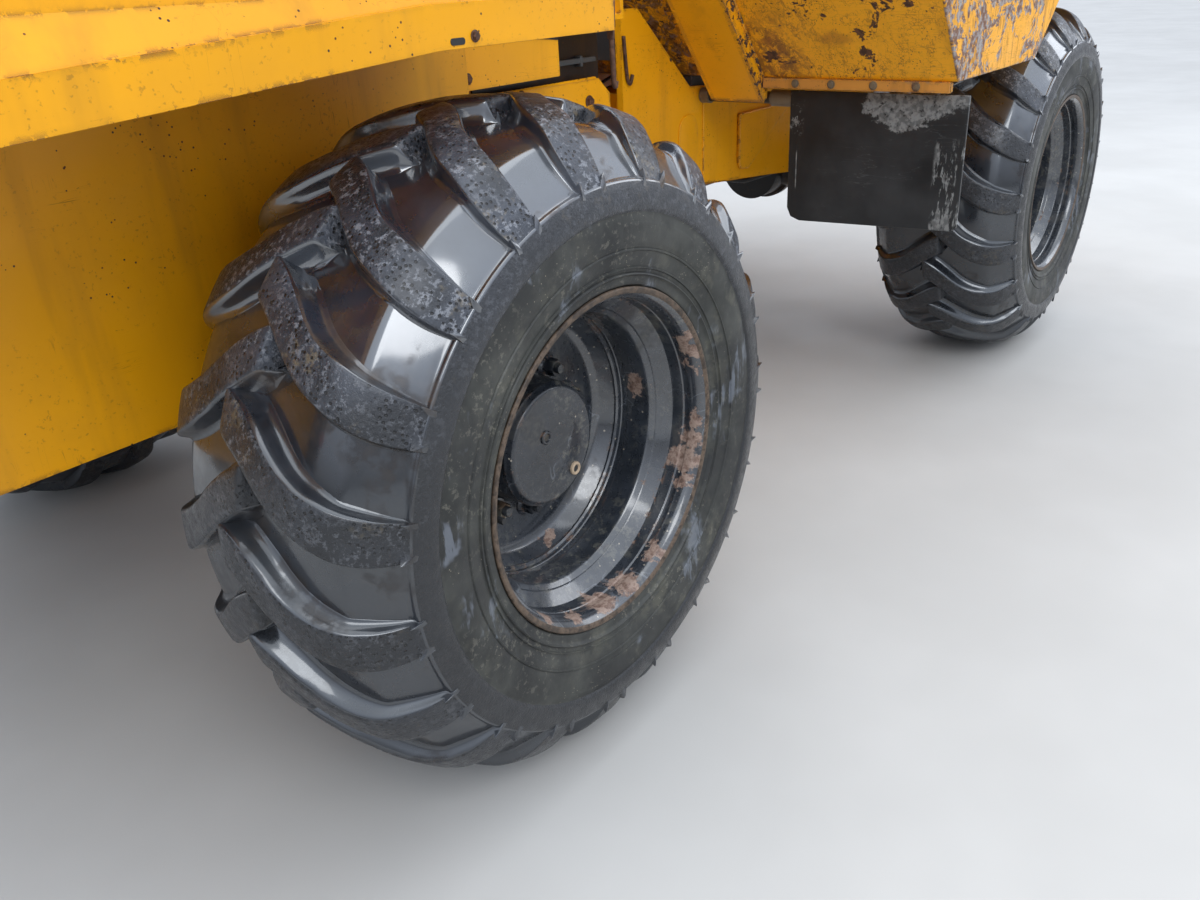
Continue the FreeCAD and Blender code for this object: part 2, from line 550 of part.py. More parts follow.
parts.append(box("front_cross_c", (1440, 1500), (-d.front_half + p, d.front_half - p), (d.rear_low + 75, 815)))
parts.append(panel("front_sole", "XZ", [(120, 727), (120, 740), (905, 668), (905, 653)], -d.front_half + p, d.front_half - p))
lug = fuse("pivot_lug_raw", [rod("pivot_lug", 88, "Z", (d.pivot_x, 0), (d.fork_low + 47, d.fork_top - 47)),
                             box("pivot_arm", (d.pivot_x, 119), (-80, 80), (745, 990))])
lug_cut = cut("pivot_lug_bored", lug, rod("pivot_bore", d.pivot_radius + d.run_gap, "Z", (d.pivot_x, 0), (600, 1100)))
parts.append(lug_cut)
node(fuse("front_frame_all", parts), "front_frame")

node(group("tip_pins_all", [rod("tip_pin_" + side, d.tip_pin, "Y", (d.tip_x, d.tip_z), both(s, 292, 372)) for side, s in SIDES]), "tip_pins")
node(fuse("front_shaft_all", [rod("front_tube", 36, "X", (0, 608), (420, d.front_axle_x - 130)),
                              rod("front_joint", 58, "X", (0, 608), (420, 470))]), "front_driveshaft")

# mud flaps hang from a bar behind the front tyres
flaps, flap_bars = [], []
for side, s in SIDES:
    flaps.append(panel("flap_" + side, "YZ",
               [(s * num(672), d.flap_top), (s * num(1180), d.flap_top), (s * num(1180), d.flap_low + 4),
                (s * num(1166), d.flap_low - 8), (s * num(712), d.flap_low - 24), (s * num(684), d.flap_low - 14),
                (s * num(672), d.flap_low + 12)], d.flap_x - 4, d.flap_x + 4))
    flap_bars.append(rod("flap_bar_" + side, 17, "Y", (d.flap_x + 21.2, 978), both(s, 360, 1150)))
node(group("mud_flaps_all", flaps), "mud_flaps")
node(group("flap_bars_all", flap_bars), "flap_bars")
hl = []
for side, s in SIDES:
    hl.append(box("head_arm_" + side, (1590, 1640), both(s, 360, 470), (820, 850)))
    hl.append(box("head_lamp_" + side, (1600, 1700), both(s, 440, 590), (770, 900)))
node(fuse("head_lamps_all", hl), "head_lamps")

# ----------------------------------------------------------------------- skip
SH, SW = d.skip_half, d.skip_wall
outer = panel("skip_outer", "XZ",
              [(d.skip_back, d.skip_top), (d.skip_back, d.skip_bend_z), (d.skip_heel, d.skip_floor),
               (d.skip_toe, d.skip_floor), (d.skip_step_x, d.skip_step_z), (d.skip_lip_x, d.skip_lip_z),
               (d.skip_lip_x, d.skip_lip_z + 52), (1880, d.skip_top)], -SH, SH)
hollow = panel("skip_hollow", "XZ",
               [(d.skip_back + SW, d.skip_top + 5), (d.skip_back + SW, d.skip_bend_z + 4),
                (d.skip_heel + 6, d.skip_floor + SW), (d.skip_toe - 4, d.skip_floor + SW),
                (d.skip_step_x - 4, d.skip_step_z + SW), (d.skip_lip_x + 5, d.skip_lip_z + SW + 1),
                (d.skip_lip_x + 5, d.skip_top + 5)], -SH + SW, SH - SW)
rims = [box("skip_rail_back", (d.skip_back - 32, d.skip_back + 4), (-1190, 1190), (d.skip_top - 44, d.skip_top))]
for side, s in SIDES:
    rims.append(panel("skip_rail_" + side, "XZ",
                      [(d.skip_back - 32, d.skip_top - 44), (1868, d.skip_top - 44), (d.skip_lip_x, d.skip_lip_z + 6),
                       (d.skip_lip_x, d.skip_lip_z + 52), (1880, d.skip_top), (d.skip_back - 32, d.skip_top)],
                      *both(s, SH - 4, 1190)))
node(fuse("skip_shell_all", [cut("skip_tub", outer, hollow)] + rims), "skip_shell")
ribs = [panel("skip_lip_bar", "XZ",
              [(2225, d.skip_lip_z - 24.3), (d.skip_lip_x, d.skip_lip_z - 0.05), (d.skip_lip_x, d.skip_lip_z - 34), (2236, d.skip_lip_z - 58)],
              -1150, 1150)]
for side, s in SIDES:
    # wide box rib on the leaning back wall
    ribs.append(panel("skip_rib_" + side, "XZ",
                      [(d.skip_heel, d.skip_floor), (d.skip_heel + 26, d.skip_floor), (d.skip_heel + 26, 978),
                       (d.skip_heel + 2, 972), (d.skip_back - 66, 1520), (d.skip_back - 66, d.skip_top - 60),
                       (d.skip_back, d.skip_top - 44), (d.skip_back, d.skip_bend_z)],
                      *both(s, 425, 600)))
    # hinge cheeks
    ribs.append(panel("skip_hinge_" + side, "XZ",
                      [(1440, 1333), (1700, 1396), (1640, 985), (1612, 928), (1575, 912), (1538, 928), (1510, 985)],
                      *both(s, 300, 328), holes=[(d.tip_x, d.tip_z, d.tip_pin + d.run_gap)]))
    # ram ears under the floor
    for k, (a, b) in enumerate(((34, 46), (-46, -34))):
        ribs.append(panel("skip_ear_%s_%d" % (side, k), "XZ",
                          [(900, d.skip_floor), (d.skip_toe, d.skip_floor), (d.skip_toe + 115, d.skip_floor + 100),
                           (d.lift_eye_x + 34, d.lift_eye_z - 14), (d.lift_eye_x + 16, d.lift_eye_z - 34),
                           (d.lift_eye_x - 16, d.lift_eye_z - 34), (d.lift_eye_x - 34, d.lift_eye_z - 14)],
                          *both(s, d.lift_y + a, d.lift_y + b)))
    # rear edge strip
    ribs.append(box("skip_strip_" + side, (d.skip_heel - 4, d.skip_heel + 14), both(s, 600, 1140), (1010, d.skip_floor)))
node(group("skip_ribs_all", ribs), "skip_ribs")

# ----------------------------------------------------------------------- rams
def ram(name, foot, eye, barrel_len, rod_len, barrel_r, rod_r, pin_r, width, upright):
    """Barrel with a bored foot eye, and a rod with its own eye."""
    foot, eye = Vector(*foot), Vector(*eye)
    u = (eye - foot).normalize()
    full = (eye - foot).Length
    rot = Rotation(Vector(0, 0, 1), u)
    cross = Vector(0, 0, 1) if upright else Vector(0, 1, 0)

    def along(tag, r, a, b):
        o = doc.addObject("Part::Cylinder", name + tag)
        o.Radius = r
        o.Height = b - a
        o.Placement = Placement(foot + u * a, rot)
        return o

    def ring(tag, r, at, w):
        o = doc.addObject("Part::Cylinder", name + tag)
        o.Radius = r
        o.Height = w
        o.Placement = Placement(at - cross * (w / 2.0), Rotation(Vector(0, 0, 1), cross))
        return o

    start = pin_r + barrel_r - 5
    b = fuse(name + "_barrel_raw", [along("_barrel_tube", barrel_r, start, barrel_len),
                                    along("_barrel_neck", pin_r + 4, pin_r + 4, start + 5),
                                    along("_barrel_gland", barrel_r + 5, barrel_len - 45, barrel_len - 5),
                                    ring("_foot_ring", pin_r + 16, foot, width)])
    bores = fuse(name + "_bores", [along("_rod_bore", rod_r + 0.05, start + 8, barrel_len + 5),
                                   ring("_foot_bore", pin_r + 0.05, foot, width + 10)])
    node(cut(name + "_barrel_all", b, bores), name + "_barrel")
    r = fuse(name + "_rod_raw", [along("_rod_bar", rod_r, full - rod_len, full - 6),
                                 ring("_eye_ring", pin_r + 13, eye, width)])
    node(cut(name + "_rod_all", r, ring("_eye_bore", pin_r, eye, width + 10)), name + "_rod")


for side, s in SIDES:
    ram(side + "_steer", (d.ram_back.v, s * d.ram_y.v, d.ram_z.v), (d.ram_eye.v, s * d.ram_y.v, d.ram_z.v),
        430, 540, 35, 20, 18, 44, True)
    ram(side + "_tip", (d.lift_x.v, s * d.lift_y.v, d.lift_z.v), (d.lift_eye_x.v, s * d.lift_y.v, d.lift_eye_z.v),
        640, 650, 50, 25, 22, 55, False)

# ------------------------------------------------------------ check and write
doc.recompute()
bad = []
for o in doc.Objects:
    if "Invalid" in o.State or "Error" in o.State:
        bad.append((o.Name, o.State))
for name, o in NODES:
    shape = o.Shape
    if shape.isNull() or not shape.isValid():
        bad.append((name, "shape"))
if bad:
    raise RuntimeError("failed objects: %s" % bad[:10])

os.makedirs("parts", exist_ok=True)
for f in os.listdir("parts"):
    if f.endswith(".step") and f[:-5] not in [n for n, o in NODES]:
        os.remove(os.path.join("parts", f))
total = None
for name, o in NODES:
    o.Shape.exportStep("parts/%s.step" % name)
    bb = o.Shape.BoundBox
    total = bb if total is None else total.united(bb)
    print("%-22s solids %d  volume %.5f m3" % (name, len(o.Shape.Solids), o.Shape.Volume / 1e9))
print("nodes", len(NODES), "box", [round(v, 1) for v in
      (total.XMin, total.XMax, total.YMin, total.YMax, total.ZMin, total.ZMax)])
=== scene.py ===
import math
import random

import bmesh
import bpy
import numpy as np
from mathutils import Matrix, Vector, noise
from mathutils.kdtree import KDTree

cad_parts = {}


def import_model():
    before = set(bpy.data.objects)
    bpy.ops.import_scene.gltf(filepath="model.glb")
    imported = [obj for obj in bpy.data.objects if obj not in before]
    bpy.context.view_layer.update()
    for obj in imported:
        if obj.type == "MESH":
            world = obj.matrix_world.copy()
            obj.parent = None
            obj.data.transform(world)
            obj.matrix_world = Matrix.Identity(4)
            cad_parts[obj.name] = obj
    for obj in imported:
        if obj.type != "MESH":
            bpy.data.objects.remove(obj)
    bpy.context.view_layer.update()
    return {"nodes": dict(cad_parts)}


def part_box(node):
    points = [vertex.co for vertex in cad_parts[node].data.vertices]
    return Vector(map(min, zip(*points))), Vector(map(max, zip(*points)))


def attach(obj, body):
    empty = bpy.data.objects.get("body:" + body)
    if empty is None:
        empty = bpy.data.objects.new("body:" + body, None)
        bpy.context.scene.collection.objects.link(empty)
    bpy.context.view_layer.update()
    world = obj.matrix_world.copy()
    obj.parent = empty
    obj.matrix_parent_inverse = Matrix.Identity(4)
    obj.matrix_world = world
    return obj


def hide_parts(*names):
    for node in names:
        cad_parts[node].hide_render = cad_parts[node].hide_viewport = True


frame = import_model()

NODES = frame["nodes"]
random.seed(7)

# ------------------------------------------------------------------ camera
EYE = Vector((-2.3661, -2.0851, 1.3351))
YAW, PITCH, ROLL = 0.6773, -0.4465, -0.0496
fw = Vector((math.cos(YAW) * math.cos(PITCH), math.sin(YAW) * math.cos(PITCH), math.sin(PITCH)))
rt = fw.cross(Vector((0, 0, 1))).normalized()
up = rt.cross(fw)
right = math.cos(ROLL) * rt + math.sin(ROLL) * up
above = -math.sin(ROLL) * rt + math.cos(ROLL) * up
cam_data = bpy.data.cameras.new("camera")
cam_data.sensor_width = 36.0
cam_data.lens = 36.0 * 1002.48 / 1200.0
cam_data.clip_start, cam_data.clip_end = 0.05, 200.0
cam = bpy.data.objects.new("camera", cam_data)
m = Matrix.Identity(4)
for i, axis in enumerate((right, above, -fw)):
    for j in range(3):
        m[j][i] = axis[j]
m.translation = EYE
cam.matrix_world = m
bpy.context.scene.collection.objects.link(cam)
bpy.context.scene.camera = cam

# ------------------------------------------------------- light and floor
scene = bpy.context.scene
scene.view_settings.view_transform = "Standard"
scene.view_settings.look = "None"
scene.view_settings.exposure = 0.0

world = bpy.data.worlds.new("studio")
scene.world = world
world.use_nodes = True
wt = world.node_tree
wt.nodes.clear()
w_out = wt.nodes.new("ShaderNodeOutputWorld")
w_bg = wt.nodes.new("ShaderNodeBackground")
w_tc = wt.nodes.new("ShaderNodeTexCoord")
w_sep = wt.nodes.new("ShaderNodeSeparateXYZ")
w_ramp = wt.nodes.new("ShaderNodeValToRGB")
wt.links.new(w_tc.outputs["Generated"], w_sep.inputs[0])
wt.links.new(w_sep.outputs["Z"], w_ramp.inputs[0])
wt.links.new(w_ramp.outputs[0], w_bg.inputs[0])
wt.links.new(w_bg.outputs[0], w_out.inputs[0])
els = w_ramp.color_ramp.elements
els[0].position, els[0].color = 0.0, (0.12, 0.12, 0.12, 1)
els[1].position, els[1].color = 1.0, (0.90, 0.96, 1.04, 1)
for pos, c in ((0.05, (0.25, 0.26, 0.28, 1)), (0.22, (0.47, 0.51, 0.59, 1)), (0.55, (0.73, 0.80, 0.92, 1))):
    e = els.new(pos)
    e.color = c
w_bg.inputs[1].default_value = 1.75


def area(name, loc, target, size, power, colour=(1, 1, 1)):
    d = bpy.data.lights.new(name, "AREA")
    d.shape = "RECTANGLE"
    d.size, d.size_y = size
    d.energy = power
    d.color = colour
    o = bpy.data.objects.new(name, d)
    o.location = loc
    o.rotation_mode = "QUATERNION"
    o.rotation_quaternion = (Vector(target) - Vector(loc)).to_track_quat("-Z", "Y")
    scene.collection.objects.link(o)
    return o


area("key", (-4.5, -6.0, 6.5), (-0.6, -0.9, 0.7), (4.5, 3.5), 230, (0.97, 0.985, 1.0))
area("sky", (0.5, 0.5, 9.0), (0, 0, 0), (9, 9), 240, (0.94, 0.97, 1.0))
area("fill", (6.0, -4.5, 3.5), (0.8, -0.8, 0.7), (4, 3), 80, (0.95, 0.97, 1.0))


class Shader:
    """A material built on one Principled shader; helpers return sockets."""

    def __init__(self, name, **values):
        self.mat = bpy.data.materials.new(name)
        self.mat.use_nodes = True
        self.nt = self.mat.node_tree
        self.nt.nodes.clear()
        self.out = self.node("ShaderNodeOutputMaterial")
        self.bsdf = self.node("ShaderNodeBsdfPrincipled")
        self.nt.links.new(self.bsdf.outputs[0], self.out.inputs[0])
        self.tc = self.node("ShaderNodeTexCoord")
        self.geo = None
        for k, v in values.items():
            self.put(k.replace("_", " ").title() if k != "ior" else "IOR", v)

    def node(self, kind, **kw):
        n = self.nt.nodes.new(kind)
        for k, v in kw.items():
            setattr(n, k, v)
        return n

    def put(self, socket, value):
        s = self.bsdf.inputs[socket]
        if isinstance(value, bpy.types.NodeSocket):
            self.nt.links.new(value, s)
        else:
            s.default_value = value

    def feed(self, socket, value):
        if isinstance(value, bpy.types.NodeSocket):
            self.nt.links.new(value, socket)
        else:
            socket.default_value = value

    def at(self, scale=(1, 1, 1), turn=(0, 0, 0), shift=(0, 0, 0)):
        """Object space with its own stretch and turn."""
        mp = self.node("ShaderNodeMapping")
        self.nt.links.new(self.tc.outputs["Object"], mp.inputs["Vector"])
        mp.inputs["Scale"].default_value = scale
        mp.inputs["Rotation"].default_value = turn
        mp.inputs["Location"].default_value = shift
        return mp.outputs[0]

    def noise(self, scale, detail=4.0, rough=0.55, warp=0.0, vec=None, colour=False):
        n = self.node("ShaderNodeTexNoise")
        self.nt.links.new(vec or self.tc.outputs["Object"], n.inputs["Vector"])
        n.inputs["Scale"].default_value = scale
        n.inputs["Detail"].default_value = min(detail, 4.0)      # render time
        n.inputs["Roughness"].default_value = rough
        n.inputs["Distortion"].default_value = warp
        return n.outputs["Color" if colour else "Fac"]

    def cells(self, scale, feature="F1", vec=None, rand=1.0):
        n = self.node("ShaderNodeTexVoronoi", feature=feature)
        self.nt.links.new(vec or self.tc.outputs["Object"], n.inputs["Vector"])
        n.inputs["Scale"].default_value = scale
        n.inputs["Randomness"].default_value = rand
        return n.outputs["Distance"]

    def fit(self, value, lo, hi, a=0.0, b=1.0, soft=True):
        n = self.node("ShaderNodeMapRange")
        n.interpolation_type = "SMOOTHSTEP" if soft else "LINEAR"
        n.clamp = True
        self.feed(n.inputs["Value"], value)
        for k, v in (("From Min", lo), ("From Max", hi), ("To Min", a), ("To Max", b)):
            n.inputs[k].default_value = v
        return n.outputs[0]

    def math(self, op, a, b=None, clamp=False):
        n = self.node("ShaderNodeMath", operation=op, use_clamp=clamp)
        self.feed(n.inputs[0], a)
        if b is not None:
            self.feed(n.inputs[1], b)
        return n.outputs[0]

    def mul(self, a, b):
        return self.math("MULTIPLY", a, b)

    def most(self, a, b):
        return self.math("MAXIMUM", a, b)

    def mix(self, fac, a, b, how="MIX"):
        n = self.node("ShaderNodeMix", data_type="RGBA", blend_type=how)
        n.clamp_factor = True
        self.feed(n.inputs[0], fac)
        for s, v in ((n.inputs[6], a), (n.inputs[7], b)):
            if isinstance(v, bpy.types.NodeSocket):
                self.nt.links.new(v, s)
            else:
                s.default_value = (*v, 1) if len(v) == 3 else v
        return n.outputs[2]

    def ramp(self, fac, stops, how="LINEAR"):
        n = self.node("ShaderNodeValToRGB")
        self.feed(n.inputs[0], fac)
        cr = n.color_ramp
        cr.interpolation = how
        while len(cr.elements) < len(stops):
            cr.elements.new(0.5)
        for e, (p, c) in zip(cr.elements, stops):
            e.position = p
            e.color = (*c, 1) if len(c) == 3 else c
        return n.outputs[0]

    def bump(self, height, strength=0.3, distance=0.002, normal=None):
        n = self.node("ShaderNodeBump")
        n.inputs["Strength"].default_value = strength
        n.inputs["Distance"].default_value = distance
        self.nt.links.new(height, n.inputs["Height"])
        if normal is not None:
            self.nt.links.new(normal, n.inputs["Normal"])
        return n.outputs[0]

    def normal(self):
        if self.geo is None:
            self.geo = self.node("ShaderNodeNewGeometry")
        return self.geo.outputs["Normal"]

    def edges(self, radius):
        """Near 1 along edges, 0 on flat faces."""
        b = self.node("ShaderNodeBevel", samples=2)
        b.inputs["Radius"].default_value = radius
        d = self.node("ShaderNodeVectorMath", operation="DOT_PRODUCT")
        self.nt.links.new(b.outputs[0], d.inputs[0])
        self.nt.links.new(self.normal(), d.inputs[1])
        return self.fit(d.outputs["Value"], 0.999, 0.93, 0.0, 1.0, soft=False)

    def upward(self):
        s = self.node("ShaderNodeSeparateXYZ")
        self.nt.links.new(self.tc.outputs["Normal"], s.inputs[0])
        return s.outputs["Z"]

    def place(self):
        s = self.node("ShaderNodeSeparateXYZ")
        self.nt.links.new(self.tc.outputs["Object"], s.inputs[0])
        return s.outputs["X"], s.outputs["Y"], s.outputs["Z"]


def lin(r, g, b):
    """sRGB 0-255 to linear."""
    out = []
    for c in (r, g, b):
        c /= 255.0
        out.append(c / 12.92 if c <= 0.04045 else ((c + 0.055) / 1.055) ** 2.4)
    return tuple(out)


def hue_shift(c, k):
    return tuple(min(1.0, max(0.0, x * k)) for x in c)


# --------------------------------------------------------------- materials
def paint(name, base, chips=0.5, scratches=0.3, dirt=0.4, stone=0.3, gloss=0.36, rust=lin(92, 48, 26),
          bare=lin(60, 46, 40), edge_radius=0.012, streak=0.0, side_wear=0.0, corner=0.0):
    """Machine paint: fading, grime, run marks, stone chips, scratches, and chipped edges down to rust."""
    s = Shader(name)
    s.put("Specular IOR Level", 0.28)
    s.put("Coat Weight", 0.10)
    s.put("Coat Roughness", 0.18)
    big = s.noise(1.7, 3)
    mid = s.noise(9.0, 5, 0.6)
    fine = s.noise(70.0, 3, 0.6)
    col = s.mix(s.fit(big, 0.3, 0.7), hue_shift(base, 0.90), hue_shift(base, 1.05))
    col = s.mix(s.mul(s.fit(mid, 0.45, 0.75), 0.22), col, tuple(x * 0.72 for x in base))
    # grime: thin brown film with drips
    drip = s.noise(5.0, 5, 0.62, vec=s.at((2.2, 2.2, 0.32)))
    film = s.mul(s.fit(drip, 0.50, 0.78), dirt)
    col = s.mix(s.mul(film, 0.75), col, lin(112, 78, 34))
    speck = s.mul(s.fit(s.noise(160.0, 2, 0.5), 0.62, 0.72), s.fit(mid, 0.38, 0.62))
    col = s.mix(s.mul(speck, 0.28 + 0.3 * dirt), col, lin(96, 66, 30))
    # scratches: thin lines along three leans
    lines = None
    for k, (sx, turn) in enumerate((((1.2, 1.2, 26.0), (0.25, 0.0, 0.2)), ((24.0, 24.0, 1.4), (0.2, 0.3, 0.0)),
                                    ((2.0, 2.0, 34.0), (-0.5, 0.4, 0.9)))):
        n = s.noise(2.6, 3, 0.5, vec=s.at(sx, turn, (k * 3.1, 0, k)))
        near = s.fit(s.math("ABSOLUTE", s.math("SUBTRACT", n, 0.5)), 0.0055, 0.002)
        where = s.fit(s.noise(3.1 + k, 4, 0.6, vec=s.at((1, 1, 1), (0, 0, 0), (k * 7.7, 2, 1))), 0.66 - 0.28 * scratches,
                      0.74 - 0.24 * scratches)
        line = s.mul(near, where)
        lines = line if lines is None else s.most(lines, line)
    # broad rubs through to the metal
    rub = s.mul(s.fit(s.noise(6.5, 7, 0.72, 0.6, vec=s.at((1.0, 1.0, 1.6))), 0.76 - 0.26 * scratches, 0.80 - 0.24 * scratches),
                s.fit(s.noise(38.0, 4, 0.7), 0.40, 0.52))
    # stone chips
    pick = s.mul(s.fit(s.cells(95.0), 0.20, 0.10), s.fit(s.noise(11.0, 3, 0.6), 0.66 - 0.22 * stone, 0.72 - 0.22 * stone))
    edge = s.edges(edge_radius)
    broken = s.fit(s.noise(34.0, 6, 0.68), 0.60 - 0.22 * chips, 0.66 - 0.22 * chips)
    along = s.fit(s.noise(4.2, 3, 0.6, vec=s.at((1, 1, 1), (0, 0, 0), (4, 4, 4))), 0.62 - 0.4 * chips, 0.80 - 0.4 * chips)
    chip = s.mul(s.mul(edge, broken), along)
    worn = s.most(s.most(chip, pick), rub)
    if streak:
        # long fine scores down the walls
        for k, (sx, turn, w) in enumerate((((9.0, 9.0, 0.9), (0.30, 0.22, 0.0), 0.011), ((14.0, 14.0, 1.3), (-0.25, 0.10, 0.2), 0.009),
                                           ((22.0, 22.0, 2.4), (0.9, 0.4, 0.1), 0.008))):
            n = s.noise(1.5, 4, 0.6, vec=s.at(sx, turn, (k * 5.3, 1, 2)))
            near = s.fit(s.math("ABSOLUTE", s.math("SUBTRACT", n, 0.5)), w * 1.4, w * 0.5)
            where = s.fit(s.noise(4.0 + 2 * k, 5, 0.65, vec=s.at((1, 1, 1), (0, 0, 0), (k * 2.7, 5, 3))), 0.46, 0.54)
            lines = s.most(lines, s.mul(s.mul(near, where), streak))
        mottle = s.mul(s.fit(s.noise(17.0, 7, 0.74, 0.8), 0.53, 0.60), s.fit(s.noise(3.4, 4, 0.6, vec=s.at((1, 1, 1), (0, 0, 0), (9, 1, 4))), 0.50, 0.62))
        col = s.mix(s.mul(mottle, 0.55), col, lin(134, 84, 44))
    if corner:
        # flaked outer corners of the ribs, worst at their feet
        x, y, z = s.place()
        across = s.math("ABSOLUTE", y)
        low = s.fit(z, 1.36, 1.06)
        flake = s.fit(s.math("ADD", s.noise(26.0, 7, 0.74, 0.5), s.mul(low, 0.11)), 0.600, 0.635)
        band = s.mul(s.mul(s.fit(across, 0.589, 0.598), s.fit(across, 0.612, 0.606)), s.fit(x, 0.40, 0.36))
        worn = s.most(worn, s.mul(s.mul(band, flake), corner))
    if side_wear:
        x, y, z = s.place()
        outer = s.fit(s.math("ABSOLUTE", y), 1.1500, 1.1590)
        scuffed = s.fit(s.noise(4.6, 9, 0.76, 0.9, vec=s.at((1.0, 1.0, 1.5), (0.5, 0.2, 0.1))), 0.54 - 0.06 * side_wear, 0.575 - 0.05 * side_wear)
        scuffed = s.mul(s.mul(scuffed, outer), s.fit(s.noise(60.0, 4, 0.7), 0.36, 0.46))
        worn = s.most(worn, scuffed)
        inside = s.mul(s.fit(s.upward(), 0.10, 0.20), s.fit(s.math("ABSOLUTE", y), 1.158, 1.150))
        bed = s.mul(s.fit(s.noise(3.0, 8, 0.72, 0.6), 0.49, 0.54), inside)
        worn = s.most(worn, s.mul(bed, 0.8))
        # rust bloom by the ribs' feet and a smear between rib and wall
        across = s.math("ABSOLUTE", y)
        ragged = s.mul(s.math("SUBTRACT", s.noise(13.0, 7, 0.72), 0.5), 0.30)
        foot = s.mul(s.fit(s.math("ADD", across, ragged), 0.80, 0.70), s.fit(s.math("ADD", z, ragged), 1.25, 1.12))
        foot = s.mul(s.mul(foot, s.fit(x, 0.34, 0.32)), s.fit(s.noise(30.0, 7, 0.76, 0.6), 0.42, 0.56))
        a, b = s.math("DIVIDE", s.math("SUBTRACT", across, 0.845), 0.075), s.math("DIVIDE", s.math("SUBTRACT", z, 1.150), 0.018)
        far = s.math("SQRT", s.math("ADD", s.math("ADD", s.mul(a, a), s.mul(b, b)), 0.0001))
        smear = s.mul(s.fit(s.math("ADD", far, s.mul(ragged, 9.0)), 1.25, 0.45), s.fit(x, 0.34, 0.32))
        bloom = s.most(s.mul(foot, 0.80), s.mul(smear, 0.42))
        col = s.mix(bloom, col, s.mix(s.fit(s.noise(24.0, 5, 0.7), 0.42, 0.58), lin(150, 88, 38), lin(92, 58, 34)))
        deep = s.mul(s.fit(s.math("ADD", across, s.mul(ragged, 0.3)), 0.62, 0.57), s.mul(s.fit(s.noise(19.0, 8, 0.78, 0.7), 0.47, 0.54), s.fit(x, 0.34, 0.32)))
        col = s.mix(s.mul(deep, 0.85), col, s.mix(s.fit(s.noise(60.0, 4, 0.7), 0.44, 0.60), lin(66, 46, 36), lin(120, 104, 98)))
        pale = s.most(outer, inside)
    worn = s.fit(worn, 0.25, 0.6)
    halo = s.mul(s.mul(edge, s.fit(s.noise(20.0, 5, 0.65), 0.50 - 0.2 * chips, 0.62 - 0.2 * chips)), 0.55)
    col = s.mix(halo, col, hue_shift(base, 0.62))
    metal = s.mix(s.fit(s.noise(55.0, 4, 0.65), 0.40, 0.62), rust, bare)
    if side_wear:
        metal = s.mix(pale, s.mix(s.fit(s.noise(55.0, 4, 0.65), 0.40, 0.62), lin(70, 48, 34), lin(110, 74, 50)), metal)
    col = s.mix(s.mul(lines, 0.75), col, s.mix(0.5, rust, hue_shift(base, 0.55)))
    col = s.mix(worn, col, metal)
    s.put("Base Color", col)
    rgh = s.math("ADD", s.fit(mid, 0.3, 0.7, gloss - 0.06, gloss + 0.12), s.mul(film, 0.25))
    rgh = s.math("ADD", rgh, s.mul(s.most(worn, lines), 0.32), clamp=True)
    s.put("Roughness", rgh)
    # the bump reads only two plain noises: it is worked out three times at every hit
    height = s.math("ADD", s.mul(fine, 0.12), s.mul(s.noise(3.2, 2), 0.9))
    s.put("Normal", s.bump(height, 0.38, 0.0016))
    return s.mat


AMBER = (0.84, 0.372, 0.005)
m_body = paint("amber_paint", AMBER, chips=0.55, scratches=0.22, dirt=0.34, stone=0.42)
m_clean = paint("amber_upper", AMBER, chips=0.28, scratches=0.10, dirt=0.24, stone=0.18)
# painted light: the skip and its ribs take a brighter copy of the body amber, standing in for the light the skip gets
# from the ground below
m_skip_brightened = paint("amber_skip_brightened", (0.97, 0.430, 0.009), chips=0.85, scratches=0.70, dirt=0.46, stone=0.7, streak=0.95,
               rust=lin(116, 80, 60), bare=lin(160, 155, 152), side_wear=1.0)
m_ribs_brightened = paint("amber_ribs_brightened", (0.96, 0.425, 0.007), edge_radius=0.026, chips=0.95, scratches=0.20, dirt=0.26, stone=0.35, rust=lin(84, 54, 38),
               bare=lin(74, 66, 66), corner=1.0)
m_dark = paint("dark_paint", lin(52, 53, 54), chips=0.45, scratches=0.3, dirt=0.35, stone=0.3, bare=lin(120, 114, 108))
m_strip = paint("strip_dusty", lin(206, 142, 66), chips=0.5, scratches=0.25, dirt=0.95, stone=0.3, rust=lin(104, 66, 44), bare=lin(132, 112, 96))
m_dusty = paint("dusty_tube", lin(120, 106, 86), chips=0.4, scratches=0.3, dirt=0.9, stone=0.4, bare=lin(96, 84, 70))
m_axle = paint("axle_black", lin(34, 34, 35), chips=0.4, scratches=0.3, dirt=0.8, stone=0.4)


